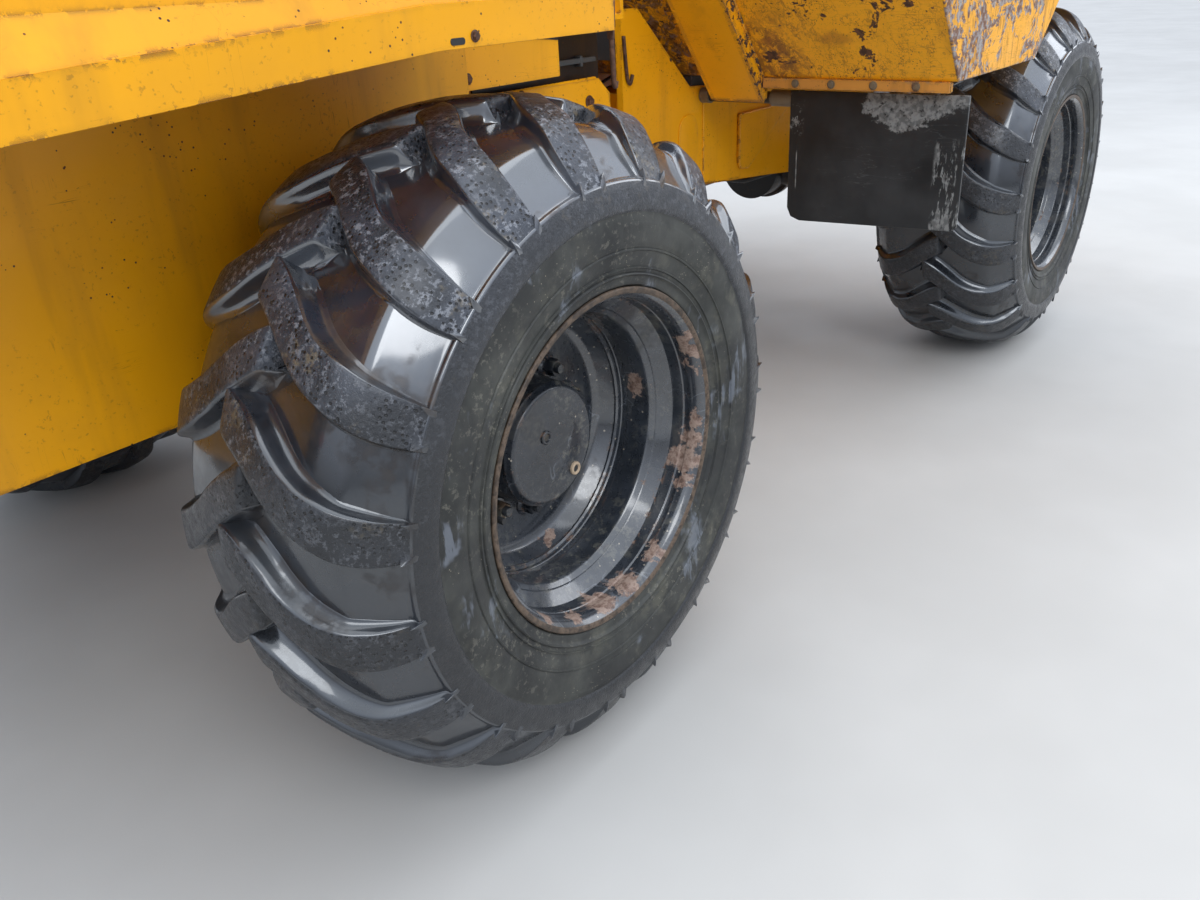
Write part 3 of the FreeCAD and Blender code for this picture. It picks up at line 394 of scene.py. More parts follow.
def rim_paint(name, base, mud=0.5, rusty_edge=0.5, spots=(), coat=0.85):
    """Black wheel paint, wet, with flaking edges, dust, and rust patches where the spots say (angle, r, out, size)."""
    s = Shader(name)
    s.put("Coat Weight", coat)
    s.put("Coat Roughness", 0.10)
    s.put("Coat IOR", 1.75)
    s.put("Specular IOR Level", 0.5)
    mid = s.noise(14.0, 5, 0.62)
    fine = s.noise(90.0, 4, 0.65)
    col = s.mix(s.fit(mid, 0.35, 0.7), base, tuple(x * 1.7 + 0.004 for x in base))
    low = s.fit(s.noise(7.0, 6, 0.68), 0.66 - 0.18 * mud, 0.74 - 0.16 * mud)
    col = s.mix(s.mul(low, 0.42), col, s.mix(s.fit(fine, 0.4, 0.6), lin(84, 80, 72), lin(60, 58, 54)))
    scuff = s.fit(s.math("ABSOLUTE", s.math("SUBTRACT", s.noise(11.0, 3, 0.5, 0.4), 0.5)), 0.010, 0.003)
    scuff = s.mul(scuff, s.fit(s.noise(5.0, 3), 0.50, 0.60))
    col = s.mix(s.mul(scuff, 0.45), col, lin(118, 124, 132))
    nick = s.mul(s.fit(s.cells(64.0), 0.15, 0.10), s.fit(s.noise(9.0, 4, 0.6), 0.52, 0.58))
    col = s.mix(s.mul(nick, 0.85), col, lin(176, 166, 150))
    dusty = s.mul(s.fit(s.noise(48.0, 7, 0.78), 0.50, 0.62), s.fit(s.noise(5.5, 4, 0.6), 0.44, 0.60))
    col = s.mix(s.mul(dusty, 0.45), col, lin(112, 110, 100))
    edge = s.edges(0.008)
    bad = s.mul(s.mul(edge, s.fit(s.noise(46.0, 6, 0.7), 0.50, 0.58)), s.fit(s.noise(6.0, 3), 0.52 - 0.2 * rusty_edge, 0.66 - 0.2 * rusty_edge))
    ragged = s.mul(s.math("SUBTRACT", s.noise(38.0, 6, 0.72), 0.5), 0.085)
    tan = None
    for ang, r, out, size in spots:
        a = math.radians(ang)
        d = s.node("ShaderNodeVectorMath", operation="DISTANCE")
        s.nt.links.new(s.tc.outputs["Object"], d.inputs[0])
        d.inputs[1].default_value = (-1.175 + r * math.sin(a), -out, 0.585 + r * math.cos(a))
        hit = s.fit(s.math("ADD", d.outputs["Value"], ragged), size, size * 0.72)
        tan = hit if tan is None else s.most(tan, hit)
    bad = s.fit(bad, 0.2, 0.55)
    rusty = s.ramp(s.noise(42.0, 6, 0.72), [(0.30, lin(58, 38, 30)), (0.45, lin(96, 70, 54)), (0.58, lin(136, 112, 96)), (0.72, lin(78, 56, 44))])
    col = s.mix(bad, col, rusty)
    if tan is not None:
        col = s.mix(s.mul(tan, 0.92), col, s.ramp(s.noise(70.0, 6, 0.74), [(0.28, lin(70, 52, 44)), (0.42, lin(124, 98, 84)), (0.56, lin(160, 138, 124)),
                                                               (0.72, lin(112, 84, 68))]))
        bad = s.most(bad, tan)
    s.put("Base Color", col)
    rgh = s.math("ADD", s.fit(fine, 0.3, 0.7, 0.22, 0.42), s.mul(s.most(bad, s.mul(low, 0.7)), 0.34), clamp=True)
    s.put("Roughness", rgh)
    s.put("Coat Weight", s.fit(s.most(bad, s.mul(low, 0.6)), 0.0, 1.0, coat, 0.15))
    h = s.math("ADD", s.mul(fine, 0.25), s.mul(mid, 0.6))
    h = s.math("SUBTRACT", h, s.mul(bad, s.math("ADD", s.mul(s.noise(120.0, 3, 0.7), 0.9), 0.4)))
    s.put("Normal", s.bump(h, 0.42, 0.0016))
    return s.mat


RUST_SPOTS = [(58, .281, 1.142, .017), (65, .281, 1.142, .021), (73, .280, 1.144, .018), (96, .278, 1.142, .018), (104, .276, 1.134, .025),
              (112, .271, 1.126, .035), (120, .276, 1.138, .022), (152, .280, 1.140, .022), (170, .278, 1.130, .030), (186, .276, 1.128, .034),
              (203, .278, 1.136, .024), (222, .280, 1.142, .022), (82, .242, 1.033, .026), (171, .240, 0.949, .024)]
m_rim = rim_paint("rim_black", lin(36, 40, 46), 0.5, 0.5, RUST_SPOTS)
m_hub = rim_paint("hub_slate", lin(24, 28, 34), 0.35, 0.2, coat=0.30)


def rust_mat(name, stops, rough=0.72):
    s = Shader(name)
    n = s.noise(55.0, 7, 0.72, 0.3)
    s.put("Base Color", s.ramp(n, stops))
    s.put("Roughness", s.fit(n, 0.3, 0.7, rough - 0.14, rough + 0.12))
    s.put("Specular IOR Level", 0.35)
    s.put("Normal", s.bump(s.noise(140.0, 5, 0.7), 0.5, 0.0012))
    return s.mat


m_flange = rust_mat("flange_rust", [(0.30, lin(40, 34, 30)), (0.44, lin(70, 58, 48)), (0.56, lin(100, 84, 70)), (0.70, lin(52, 43, 37))], 0.5)
m_rust = rust_mat("old_rust", [(0.30, lin(40, 28, 22)), (0.46, lin(74, 48, 34)), (0.60, lin(104, 74, 56)), (0.75, lin(50, 34, 26))])


def rubber_side():
    """Dull grey-olive wall with dust, faint rings and rub marks."""
    s = Shader("tyre_wall")
    s.put("Specular IOR Level", 0.42)
    s.put("Coat Weight", 0.06)
    s.put("Coat Roughness", 0.3)
    mid = s.noise(6.0, 6, 0.66)
    col = s.mix(s.fit(mid, 0.36, 0.64), lin(34, 35, 34), lin(62, 63, 59))
    dust = s.mul(s.fit(s.noise(17.0, 6, 0.7), 0.50, 0.66), s.fit(s.noise(3.0, 3), 0.35, 0.65))
    col = s.mix(s.mul(dust, 0.45), col, lin(96, 94, 81))
    dark = s.fit(s.noise(4.4, 6, 0.66, vec=s.at((1, 1, 1), (0, 0, 0), (3, 1, 2))), 0.50, 0.62)
    col = s.mix(s.mul(dark, 0.62), col, lin(34, 35, 36))
    grit = s.mul(s.fit(s.noise(70.0, 6, 0.76), 0.55, 0.63), s.fit(s.noise(5.0, 4), 0.42, 0.6))
    col = s.mix(s.mul(grit, 0.35), col, lin(128, 124, 112))
    rub = s.mul(s.fit(s.noise(8.0, 4, 0.6, vec=s.at((1, 1, 1), (0, 0, 0), (7, 3, 9))), 0.56, 0.64),
                s.fit(s.noise(3.0, 5, 0.7, vec=s.at((14, 1, 3), (0.4, 0, 0.3))), 0.48, 0.58))
    col = s.mix(s.mul(rub, 0.5), col, lin(122, 128, 138))
    nick = s.mul(s.fit(s.cells(150.0), 0.16, 0.08), s.fit(s.noise(14.0, 3), 0.56, 0.62))
    col = s.mix(s.mul(nick, 0.7), col, lin(168, 160, 140))
    s.put("Base Color", col)
    s.put("Roughness", s.fit(s.noise(8.0, 5, 0.62), 0.3, 0.7, 0.46, 0.74))
    h = s.math("ADD", s.mul(s.noise(160.0, 4, 0.7), 0.35), s.mul(s.noise(24.0, 4, 0.6), 0.5))
    s.put("Normal", s.bump(h, 0.55, 0.0018))
    return s.mat


def rubber_wet():
    """Flanks and groove floors: smooth, wet and nearly black with a brown film in places."""
    s = Shader("tyre_wet")
    # painted reflection: the blue specular tint colours the wet sheen like sky
    s.put("Specular Tint", (0.84, 0.92, 1.0, 1.0))
    s.put("Specular IOR Level", 0.62)
    s.put("Coat Weight", 1.0)
    s.put("Coat Roughness", 0.10)
    s.put("Coat IOR", 2.1)
    mid = s.noise(7.0, 5, 0.62)
    col = s.mix(s.fit(mid, 0.32, 0.7), lin(30, 33, 39), lin(46, 50, 60))
    mud = s.mul(s.fit(s.noise(4.6, 6, 0.66, 0.4, vec=s.at((1, 1, 1), (0, 0, 0), (5, 2, 8))), 0.52, 0.66), s.fit(s.noise(30.0, 4, 0.6), 0.36, 0.6))
    col = s.mix(s.mul(mud, 0.5), col, lin(96, 76, 52))
    x, y, z = s.place()
    # painted shade: darker towards the ground; the coat is also thinner there
    low = s.fit(s.math("ADD", z, s.mul(s.math("SUBTRACT", s.noise(6.0, 5, 0.7), 0.5), 0.4)), 0.98, 0.72)
    col = s.mix(s.mul(low, 0.7), col, lin(18, 19, 22))
    s.put("Base Color", col)
    s.put("Roughness", s.fit(s.noise(12.0, 5, 0.66), 0.3, 0.72, 0.20, 0.50))
    s.put("Coat Weight", s.mul(s.fit(mud, 0.1, 0.7, 1.0, 0.30), s.fit(low, 0.0, 1.0, 1.0, 0.42)))
    h = s.math("ADD", s.mul(s.noise(22.0, 4, 0.55), 0.5), s.mul(s.noise(120.0, 3, 0.6), 0.08))
    s.put("Normal", s.bump(h, 0.28, 0.0018))
    return s.mat


def rubber_top(name, grain):
    """Worn rubber: scrubbed, pitted and grey under a thin wet coat, with light speckles as painted glints of the wet
    grain and painted shade towards the ground.
    """
    s = Shader(name)
    s.put("Specular IOR Level", 0.45)
    s.put("Coat Weight", 0.30)
    s.put("Coat Roughness", 0.22)
    s.put("Coat IOR", 1.5)
    mid = s.noise(9.0, 5, 0.64)
    # painted shade: darker towards the ground
    x, y, z = s.place()
    ground_shade = s.fit(s.math("ADD", z, s.mul(s.math("SUBTRACT", s.noise(5.0, 5, 0.7), 0.5), 0.5)), 1.06, 0.66)
    col = s.mix(s.fit(mid, 0.34, 0.7), lin(36, 39, 45), lin(70, 75, 85))
    col = s.mix(1.0 - grain, col, lin(40, 42, 46)) if grain < 1 else col
    # painted highlight: light speckles stand in for glints off the wet grain
    speck = s.fit(s.noise(85.0, 5, 0.78), 0.52, 0.60)
    col = s.mix(s.mul(speck, s.fit(s.noise(10.0, 4), 0.4, 0.6, 0.35 * grain, 0.85 * grain)), col, lin(128, 131, 138))
    mud = s.mul(s.fit(s.noise(12.0, 6, 0.7, vec=s.at((1, 1, 1), (0, 0, 0), (1, 6, 2))), 0.56, 0.66), s.fit(s.noise(90.0, 3, 0.7), 0.42, 0.58))
    col = s.mix(s.mul(mud, 0.6 * grain), col, lin(132, 118, 92))
    pit = s.mul(s.mul(s.fit(s.cells(120.0), 0.34, 0.16), grain), s.fit(s.noise(13.0, 3), 0.36, 0.50))
    col = s.mix(pit, col, lin(18, 18, 19))
    col = s.mix(s.mul(ground_shade, 0.74), col, lin(22, 23, 25))
    s.put("Base Color", col)
    s.put("Roughness", s.fit(s.noise(40.0, 4, 0.66), 0.3, 0.7, 0.30, 0.58))
    h = s.math("SUBTRACT", s.math("ADD", s.mul(s.noise(70.0, 4, 0.7), 0.6), s.mul(s.noise(240.0, 3, 0.7), 0.8)), s.mul(pit, 1.1))
    s.put("Normal", s.bump(h, 1.0, 0.0022))
    return s.mat


m_wall, m_wet, m_top, m_band = rubber_side(), rubber_wet(), rubber_top("tyre_top", 1.0), rubber_top("tyre_band", 0.22)


def flap_mat():
    s = Shader("flap_rubber")
    s.put("Specular IOR Level", 0.45)
    s.put("Coat Weight", 0.25)
    s.put("Coat Roughness", 0.25)
    col = s.mix(s.fit(s.noise(5.0, 5, 0.6), 0.35, 0.7), lin(26, 27, 28), lin(46, 47, 48))
    x, y, z = s.place()
    across = s.math("ABSOLUTE", y)
    # grey scuff under the top edge, wide above and narrow below
    ragged = s.mul(s.math("SUBTRACT", s.noise(26.0, 7, 0.74, 0.4), 0.5), 0.09)
    off = s.math("ABSOLUTE", s.math("SUBTRACT", across, 1.01))
    level = s.math("ADD", s.math("SUBTRACT", z, s.math("ADD", s.mul(off, 0.50), 0.893)), ragged)
    scuff = s.mul(s.fit(level, 0.0, 0.008), s.fit(s.math("ADD", across, ragged), 0.888, 0.898))
    scuff = s.mul(scuff, s.fit(s.noise(60.0, 5, 0.7), 0.34, 0.46))
    # dried streaks down the outer edge, and dust by the inner one
    run = s.mul(s.fit(s.noise(9.0, 6, 0.72, vec=s.at((1, 4.5, 1.1))), 0.50, 0.55), s.mul(s.fit(across, 1.098, 1.108), s.fit(z, 0.90, 0.86)))
    near = s.mul(s.fit(s.noise(30.0, 6, 0.74), 0.54, 0.60), s.mul(s.fit(across, 0.72, 0.70), s.fit(z, 0.86, 0.92)))
    thin = s.mul(s.fit(s.math("ABSOLUTE", s.math("SUBTRACT", across, 0.697)), 0.0022, 0.0010),
                 s.mul(s.fit(z, 0.728, 0.742), s.fit(z, 0.842, 0.830)))
    col = s.mix(s.mul(s.most(s.most(scuff, run), s.most(near, thin)), 0.85), col, s.mix(s.fit(s.noise(80.0, 4), 0.4, 0.6), lin(100, 101, 100), lin(138, 139, 137)))
    line = s.fit(s.math("ABSOLUTE", s.math("SUBTRACT", s.noise(6.0, 3, 0.5, vec=s.at((1, 1, 7), (0.5, 0, 0))), 0.5)), 0.007, 0.002)
    line = s.mul(line, s.fit(s.noise(4.0, 3), 0.48, 0.6))
    col = s.mix(s.mul(line, 0.22), col, lin(110, 112, 114))
    s.put("Base Color", col)
    s.put("Roughness", s.fit(s.noise(13.0, 5), 0.3, 0.7, 0.36, 0.62))
    s.put("Normal", s.bump(s.math("ADD", s.noise(3.5, 2), s.mul(s.noise(80.0, 4, 0.7), 0.12)), 0.35, 0.004))
    return s.mat


def metal(name, base, rough=0.3, wear=0.3):
    s = Shader(name)
    s.put("Metallic", 1.0)
    col = s.mix(s.fit(s.noise(14.0, 5, 0.65), 0.35, 0.7), base, hue_shift(base, 0.62))
    tarnish = s.fit(s.noise(26.0, 6, 0.7), 0.66 - 0.2 * wear, 0.74 - 0.2 * wear)
    col = s.mix(s.mul(tarnish, 0.6), col, lin(104, 70, 44))
    s.put("Base Color", col)
    s.put("Roughness", s.math("ADD", s.fit(s.noise(60.0, 4), 0.3, 0.7, rough - 0.08, rough + 0.12), s.mul(tarnish, 0.3), clamp=True))
    s.put("Normal", s.bump(s.noise(150.0, 3, 0.6, vec=s.at((1, 1, 1))), 0.12, 0.0006))
    return s.mat


m_steel = metal("bare_steel", lin(150, 148, 144), 0.38, 0.6)
m_chrome = metal("rod_chrome", lin(205, 207, 210), 0.12, 0.0)
m_bolt = metal("bolt_zinc", lin(150, 146, 134), 0.36, 0.7)
m_exhaust = metal("exhaust_steel", lin(128, 116, 104), 0.45, 0.9)
m_engine = paint("engine_grey", lin(74, 78, 80), chips=0.3, scratches=0.2, dirt=0.8, stone=0.2, gloss=0.5)
m_flap = flap_mat()


def plastic(name, base, rough=0.5, grain=260.0, bump=0.18):
    s = Shader(name)
    col = s.mix(s.fit(s.noise(5.0, 5, 0.6), 0.35, 0.7), base, tuple(x * 1.5 + 0.004 for x in base))
    dust = s.mul(s.fit(s.noise(12.0, 6, 0.7), 0.52, 0.68), 0.35)
    col = s.mix(dust, col, lin(120, 108, 88))
    s.put("Base Color", col)
    s.put("Roughness", s.fit(s.noise(18.0, 4), 0.3, 0.7, rough - 0.08, rough + 0.12))
    s.put("Normal", s.bump(s.noise(grain, 2, 0.5), bump, 0.0008))
    return s.mat


m_plastic = plastic("dark_plastic", lin(30, 30, 31), 0.5)
m_tan = plastic("plug_dust", lin(166, 146, 122), 0.7)
m_housing = plastic("lamp_housing", lin(34, 35, 36), 0.42)


def lens(name, base, rough=0.12, clear=0.35, ribs=0.0):
    s = Shader(name)
    s.put("Transmission Weight", clear)
    s.put("IOR", 1.49)
    s.put("Coat Weight", 0.6)
    s.put("Coat Roughness", 0.06)
    dust = s.fit(s.noise(9.0, 6, 0.7), 0.50, 0.72)
    s.put("Base Color", s.mix(s.mul(dust, 0.35), base, hue_shift(base, 0.55)))
    s.put("Roughness", s.fit(s.noise(14.0, 4), 0.3, 0.7, rough, rough + 0.18))
    s.put("Normal", s.bump(s.cells(140.0), 0.25, 0.0010))
    return s.mat


m_red = lens("tail_red", lin(176, 16, 14), 0.14, 0.15)
m_orange = lens("beacon_amber", lin(232, 118, 8), 0.12, 0.35)
m_clear = lens("lamp_glass", lin(226, 230, 232), 0.05, 0.7)


def vinyl():
    """Black seat vinyl with a leather grain, scuffed on the crown."""
    s = Shader("seat_vinyl")
    s.put("Specular IOR Level", 0.5)
    s.put("Sheen Weight", 0.12)
    s.put("Sheen Roughness", 0.5)
    col = s.mix(s.fit(s.noise(5.0, 5, 0.6), 0.35, 0.7), lin(27, 27, 28), lin(44, 43, 42))
    dust = s.mul(s.fit(s.noise(11.0, 6, 0.7), 0.50, 0.68), 0.32)
    col = s.mix(dust, col, lin(116, 104, 84))
    s.put("Base Color", col)
    s.put("Roughness", s.fit(s.noise(9.0, 4), 0.3, 0.7, 0.40, 0.60))
    grain = s.math("ADD", s.mul(s.cells(420.0), 0.8), s.mul(s.noise(300.0, 3, 0.6), 0.4))
    s.put("Normal", s.bump(grain, 0.35, 0.0009))
    return s.mat


m_vinyl = vinyl()


def stitch_mat():
    s = Shader("stitch_thread")
    s.put("Base Color", s.mix(s.fit(s.noise(60.0, 3), 0.4, 0.6), lin(96, 94, 90), lin(130, 126, 118)))
    s.put("Roughness", s.fit(s.noise(90.0, 3), 0.3, 0.7, 0.6, 0.8))
    return s.mat


m_stitch = stitch_mat()


def floor_mat():
    s = Shader("pale_floor")
    s.put("Specular IOR Level", 0.35)
    col = s.mix(s.fit(s.noise(0.9, 4, 0.6), 0.3, 0.7), lin(184, 182, 178), lin(193, 191, 187))
    s.put("Base Color", col)
    s.put("Roughness", s.fit(s.noise(3.0, 4), 0.3, 0.7, 0.55, 0.68))
    s.put("Normal", s.bump(s.noise(60.0, 5, 0.6), 0.05, 0.001))
    return s.mat


me = bpy.data.meshes.new("studio_floor")
me.from_pydata([(-30, -30, 0), (30, -30, 0), (30, 30, 0), (-30, 30, 0)], [], [(0, 1, 2, 3)])
floor = bpy.data.objects.new("studio_floor", me)
floor.data.materials.append(floor_mat())
scene.collection.objects.link(floor)


# ------------------------------------------------------------ mesh helpers
class Acc:
    """Collects closed shells and makes one piece of them."""

    def __init__(self):
        self.v, self.f, self.m = [], [], []

    def add(self, verts, faces, mat=0):
        o = len(self.v)
        self.v.extend([tuple(map(float, p)) for p in verts])
        self.f.extend([tuple(i + o for i in f) for f in faces])
        self.m.extend([mat] * len(faces))
        return self

    def join(self, other):
        o = len(self.v)
        self.v.extend(other.v)
        self.f.extend([tuple(i + o for i in f) for f in other.f])
        self.m.extend(other.m)
        return self

    def piece(self, name, mats, body, slot=None, sharp=35.0, replaces=()):
        me = bpy.data.meshes.new(name)
        me.from_pydata(self.v, [], self.f)
        mats = mats if isinstance(mats, (list, tuple)) else [mats]
        for mt in mats:
            me.materials.append(mt)
        me.polygons.foreach_set("material_index", self.m)
        me.polygons.foreach_set("use_smooth", [True] * len(self.f))
        me.update()
        me.set_sharp_from_angle(angle=math.radians(sharp))
        o = bpy.data.objects.new(name, me)
        scene.collection.objects.link(o)
        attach(o, body)
        if replaces:
            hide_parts(*replaces)
        return o


def frame_to(origin, z_axis, x_hint=(1, 0, 0)):
    """Matrix whose Z is z_axis."""
    z = Vector(z_axis).normalized()
    x = Vector(x_hint)
    if abs(x.normalized().dot(z)) > 0.95:
        x = Vector((0, 1, 0))
    y = z.cross(x).normalized()
    x = y.cross(z).normalized()
    mt = Matrix.Identity(4)
    for i, a in enumerate((x, y, z)):
        for j in range(3):
            mt[j][i] = a[j]
    mt.translation = Vector(origin)
    return mt


def moved(verts, mt):
    a = np.array([list(v) for v in verts], float)
    r = np.array(mt.to_3x3(), float)
    return a @ r.T + np.array(mt.translation, float)


def lathe(profile, n=32, mt=None):
    """Closed or axis-ended profile of (radius, height) turned about Z."""
    verts, faces, rows = [], [], []
    for r, z in profile:
        if r < 1e-6:
            rows.append([len(verts)])
            verts.append((0, 0, z))
        else:
            rows.append(list(range(len(verts), len(verts) + n)))
            verts += [(r * math.cos(2 * math.pi * k / n), r * math.sin(2 * math.pi * k / n), z) for k in range(n)]
    closed = len(rows[0]) > 1 and len(rows[-1]) > 1
    pairs = list(zip(rows, rows[1:])) + ([(rows[-1], rows[0])] if closed else [])
    for a, b in pairs:
        for k in range(n):
            j = (k + 1) % n
            if len(a) == 1:
                faces.append((a[0], b[j], b[k]))
            elif len(b) == 1:
                faces.append((a[k], a[j], b[0]))
            else:
                faces.append((a[k], a[j], b[j], b[k]))
    if mt is not None:
        verts = moved(verts, mt)
    return verts, faces


def from_bm(bm):
    bm.verts.index_update()
    bm.normal_update()
    v = [tuple(x.co) for x in bm.verts]
    f = [tuple(x.index for x in p.verts) for p in bm.faces]
    bm.free()
    return v, f


def block(lo, hi, bevel=0.003, seg=2, mt=None):
    """Box with rounded edges."""
    bm = bmesh.new()
    bmesh.ops.create_cube(bm, size=1.0)
    lo, hi = Vector(lo), Vector(hi)
    for v in bm.verts:
        v.co = Vector(((v.co.x + 0.5) * (hi.x - lo.x) + lo.x, (v.co.y + 0.5) * (hi.y - lo.y) + lo.y,
                       (v.co.z + 0.5) * (hi.z - lo.z) + lo.z))
    if bevel:
        bmesh.ops.bevel(bm, geom=bm.edges[:], offset=bevel, segments=seg, profile=0.6, affect="EDGES", clamp_overlap=True)
    v, f = from_bm(bm)
    if mt is not None:
        v = moved(v, mt)
    return v, f


def slab(points, plane, lo, hi, bevel=0.002, seg=2, mt=None):
    """Flat plate of any outline. plane XZ: points (x, z), lo-hi is y, and so on."""
    bm = bmesh.new()
    area2 = sum(points[i][0] * points[(i + 1) % len(points)][1] - points[(i + 1) % len(points)][0] * points[i][1]
                for i in range(len(points)))
    pts = list(points) if area2 > 0 else list(reversed(points))

    def at(p, h):
        return {"XZ": (p[0], h, p[1]), "XY": (p[0], p[1], h), "YZ": (h, p[0], p[1])}[plane]

    a = [bm.verts.new(at(p, lo)) for p in pts]
    b = [bm.verts.new(at(p, hi)) for p in pts]
    n = len(pts)
    bm.faces.new(a)
    bm.faces.new(list(reversed(b)))
    for i in range(n):
        j = (i + 1) % n
        bm.faces.new((a[j], a[i], b[i], b[j]))
    bmesh.ops.recalc_face_normals(bm, faces=bm.faces)
    if bevel:
        bmesh.ops.bevel(bm, geom=bm.edges[:], offset=bevel, segments=seg, profile=0.6, affect="EDGES", clamp_overlap=True)
    v, f = from_bm(bm)
    if mt is not None:
        v = moved(v, mt)
    return v, f


def smooth_path(points, radius, seg=6):
    """Rounds the corners of a run of points."""
    pts = [Vector(p) for p in points]
    out = [pts[0]]
    for a, b, c in zip(pts, pts[1:], pts[2:]):
        u, w = (a - b), (c - b)
        r = min(radius, u.length * 0.45, w.length * 0.45)
        p, q = b + u.normalized() * r, b + w.normalized() * r
        for k in range(seg + 1):
            t = k / seg
            out.append((1 - t) ** 2 * p + 2 * t * (1 - t) * b + t * t * q)
    out.append(pts[-1])
    return out


def tube(points, radius, n=12, cap=True, radii=None, mt=None):
    """Round bar along a path, with domed ends."""
    pts = [Vector(p) for p in points]
    keep = [pts[0]]
    for p in pts[1:]:
        if (p - keep[-1]).length > 1e-5:
            keep.append(p)
    pts = keep
    verts, faces, rows = [], [], []
    t0 = (pts[1] - pts[0]).normalized()
    side = t0.cross(Vector((0, 0, 1)))
    if side.length < 0.1:
        side = t0.cross(Vector((1, 0, 0)))
    side.normalize()
    for i, p in enumerate(pts):
        t = ((pts[min(i + 1, len(pts) - 1)] - pts[max(i - 1, 0)])).normalized()
        side = (side - t * side.dot(t)).normalized()
        other = t.cross(side)
        r = radii[i] if radii else radius
        rows.append(list(range(len(verts), len(verts) + n)))
        verts += [tuple(p + side * (r * math.cos(2 * math.pi * k / n)) + other * (r * math.sin(2 * math.pi * k / n))) for k in range(n)]
    for a, b in zip(rows, rows[1:]):
        for k in range(n):
            j = (k + 1) % n
            faces.append((a[k], a[j], b[j], b[k]))
    for row, c, flip in ((rows[0], pts[0], True), (rows[-1], pts[-1], False)):
        o = len(verts)
        verts.append(tuple(c))
        for k in range(n):
            j = (k + 1) % n
            faces.append((row[j], row[k], o) if flip else (row[k], row[j], o))
    if mt is not None:
        verts = moved(verts, mt)
    return verts, faces


def hexhead(r, h, mt, washer=True, n=6):
    """Hexagon bolt head with a chamfered top, on a washer."""
    acc = Acc()
    if washer:
        acc.add(*lathe([(0, 0), (r * 1.28, 0), (r * 1.34, 0.0006), (r * 1.34, h * 0.22), (r * 1.26, h * 0.27), (0, h * 0.27)], 20, mt))
    z0 = h * 0.2 if washer else 0.0
    rows = [(r * 0.0, z0), (r, z0), (r, h * 0.86), (r * 0.86, h), (0, h)]
    acc.add(*lathe(rows, n, mt))
    return acc


def bolt_row(acc, spots, axis, r=0.011, h=0.009, washer=True):
    for k, p in enumerate(spots):
        mt = frame_to(p, axis) @ Matrix.Rotation(0.4 * k, 4, "Z")
        acc.join(hexhead(r, h, mt, washer))
    return acc


def weld_bead(points, r=0.0045, step=0.006, seed=1):
    """A ripply weld along a path."""
    rnd = random.Random(seed)
    pts = [Vector(p) for p in points]
    run = []
    for a, b in zip(pts, pts[1:]):
        n = max(2, int((b - a).length / step))
        run += [a.lerp(b, k / n) for k in range(n)]
    run.append(pts[-1])
    rad = [r * (0.82 + 0.28 * abs(math.sin(i * 1.9)) + 0.1 * rnd.random()) for i in range(len(run))]
    return tube(run, r, 6, radii=rad)


def skin(node, mat, width=0.003, seg=2, angle=28.0, extra=()):
    """A carried-over CAD node: its finish and eased edges."""
    o = NODES[node]
    o.data.materials.clear()
    o.data.materials.append(mat)
    for mt in extra:
        o.data.materials.append(mt)
    w = o.modifiers.new("weld", "WELD")
    w.merge_threshold = 0.00004
    if width:
        b = o.modifiers.new("ease", "BEVEL")
        b.width = width
        b.segments = seg
        b.limit_method = "ANGLE"
        b.angle_limit = math.radians(angle)
        b.harden_normals = True
        b.use_clamp_overlap = True
    return o


# ------------------------------------------------------------------ wheels
LUGS = 19
PITCH = 360.0 / LUGS
TYRE_Y = 0.930          # the tyre's middle plane sits a little inboard of the wheel's
WHEELS = [("rear_right", -1.175, -1, 1.06), ("rear_left", -1.175, 1, 8.0), ("front_right", 1.413, -1, 7.6), ("front_left", 1.413, 1, 4.0)]


def eased(points, width, lo, hi, n=241):
    """Piecewise line through the points, smoothed over a width."""
    xs = np.linspace(lo - 3 * width, hi + 3 * width, n)
    px, py = zip(*points)
    slope0 = (py[1] - py[0]) / (px[1] - px[0])
    slope1 = (py[-1] - py[-2]) / (px[-1] - px[-2])
    y = np.interp(xs, px, py)
    y = np.where(xs < px[0], py[0] + slope0 * (xs - px[0]), y)
    y = np.where(xs > px[-1], py[-1] + slope1 * (xs - px[-1]), y)
    k = np.exp(-0.5 * ((xs[:, None] - xs[None, :]) / width) ** 2)
    k /= k.sum(1, keepdims=True)
    return xs, k @ y


# a lug's two top edges, in degrees behind its front edge at the shoulder, over the distance from the middle
UP_X, UP_Y = eased([(-0.04, -14.9), (-0.005, -13.3), (0.015, -12.1), (0.035, -10.5), (0.055, -8.8), (0.075, -6.9), (0.095, -5.2), (0.115, -4.0),
                    (0.135, -3.0), (0.155, -2.3), (0.175, -1.5), (0.195, -0.8), (0.215, -0.3), (0.235, 0.0), (0.25, 0.1)], 0.009, -0.05, 0.26)
LOW_X, LOW_Y = eased([(-0.04, -8.6), (-0.025, -7.8), (-0.005, -6.5), (0.015, -5.1), (0.035, -3.5), (0.055, -1.8), (0.075, -0.1), (0.095, 1.4),
                      (0.115, 2.7), (0.135, 3.7), (0.155, 4.7), (0.175, 5.7), (0.195, 6.5), (0.215, 7.0), (0.235, 7.0), (0.25, 6.9)],
                     0.009, -0.05, 0.26)
CROWN_S, CROWN_R = eased([(-0.05, 0.5840), (0.0, 0.5847), (0.05, 0.5838), (0.09, 0.5796), (0.12, 0.5742), (0.145, 0.5674), (0.165, 0.5582),
                          (0.18, 0.5478), (0.195, 0.5336), (0.21, 0.5155), (0.222, 0.4968), (0.231, 0.4790), (0.2368, 0.4640), (0.242, 0.448)],
                         0.004, -0.05, 0.25, 401)


def crown(s):
    """Lug top radius at a distance s from the tyre's middle."""
    return float(np.interp(s if s < 0 else abs(s), CROWN_S, CROWN_R))


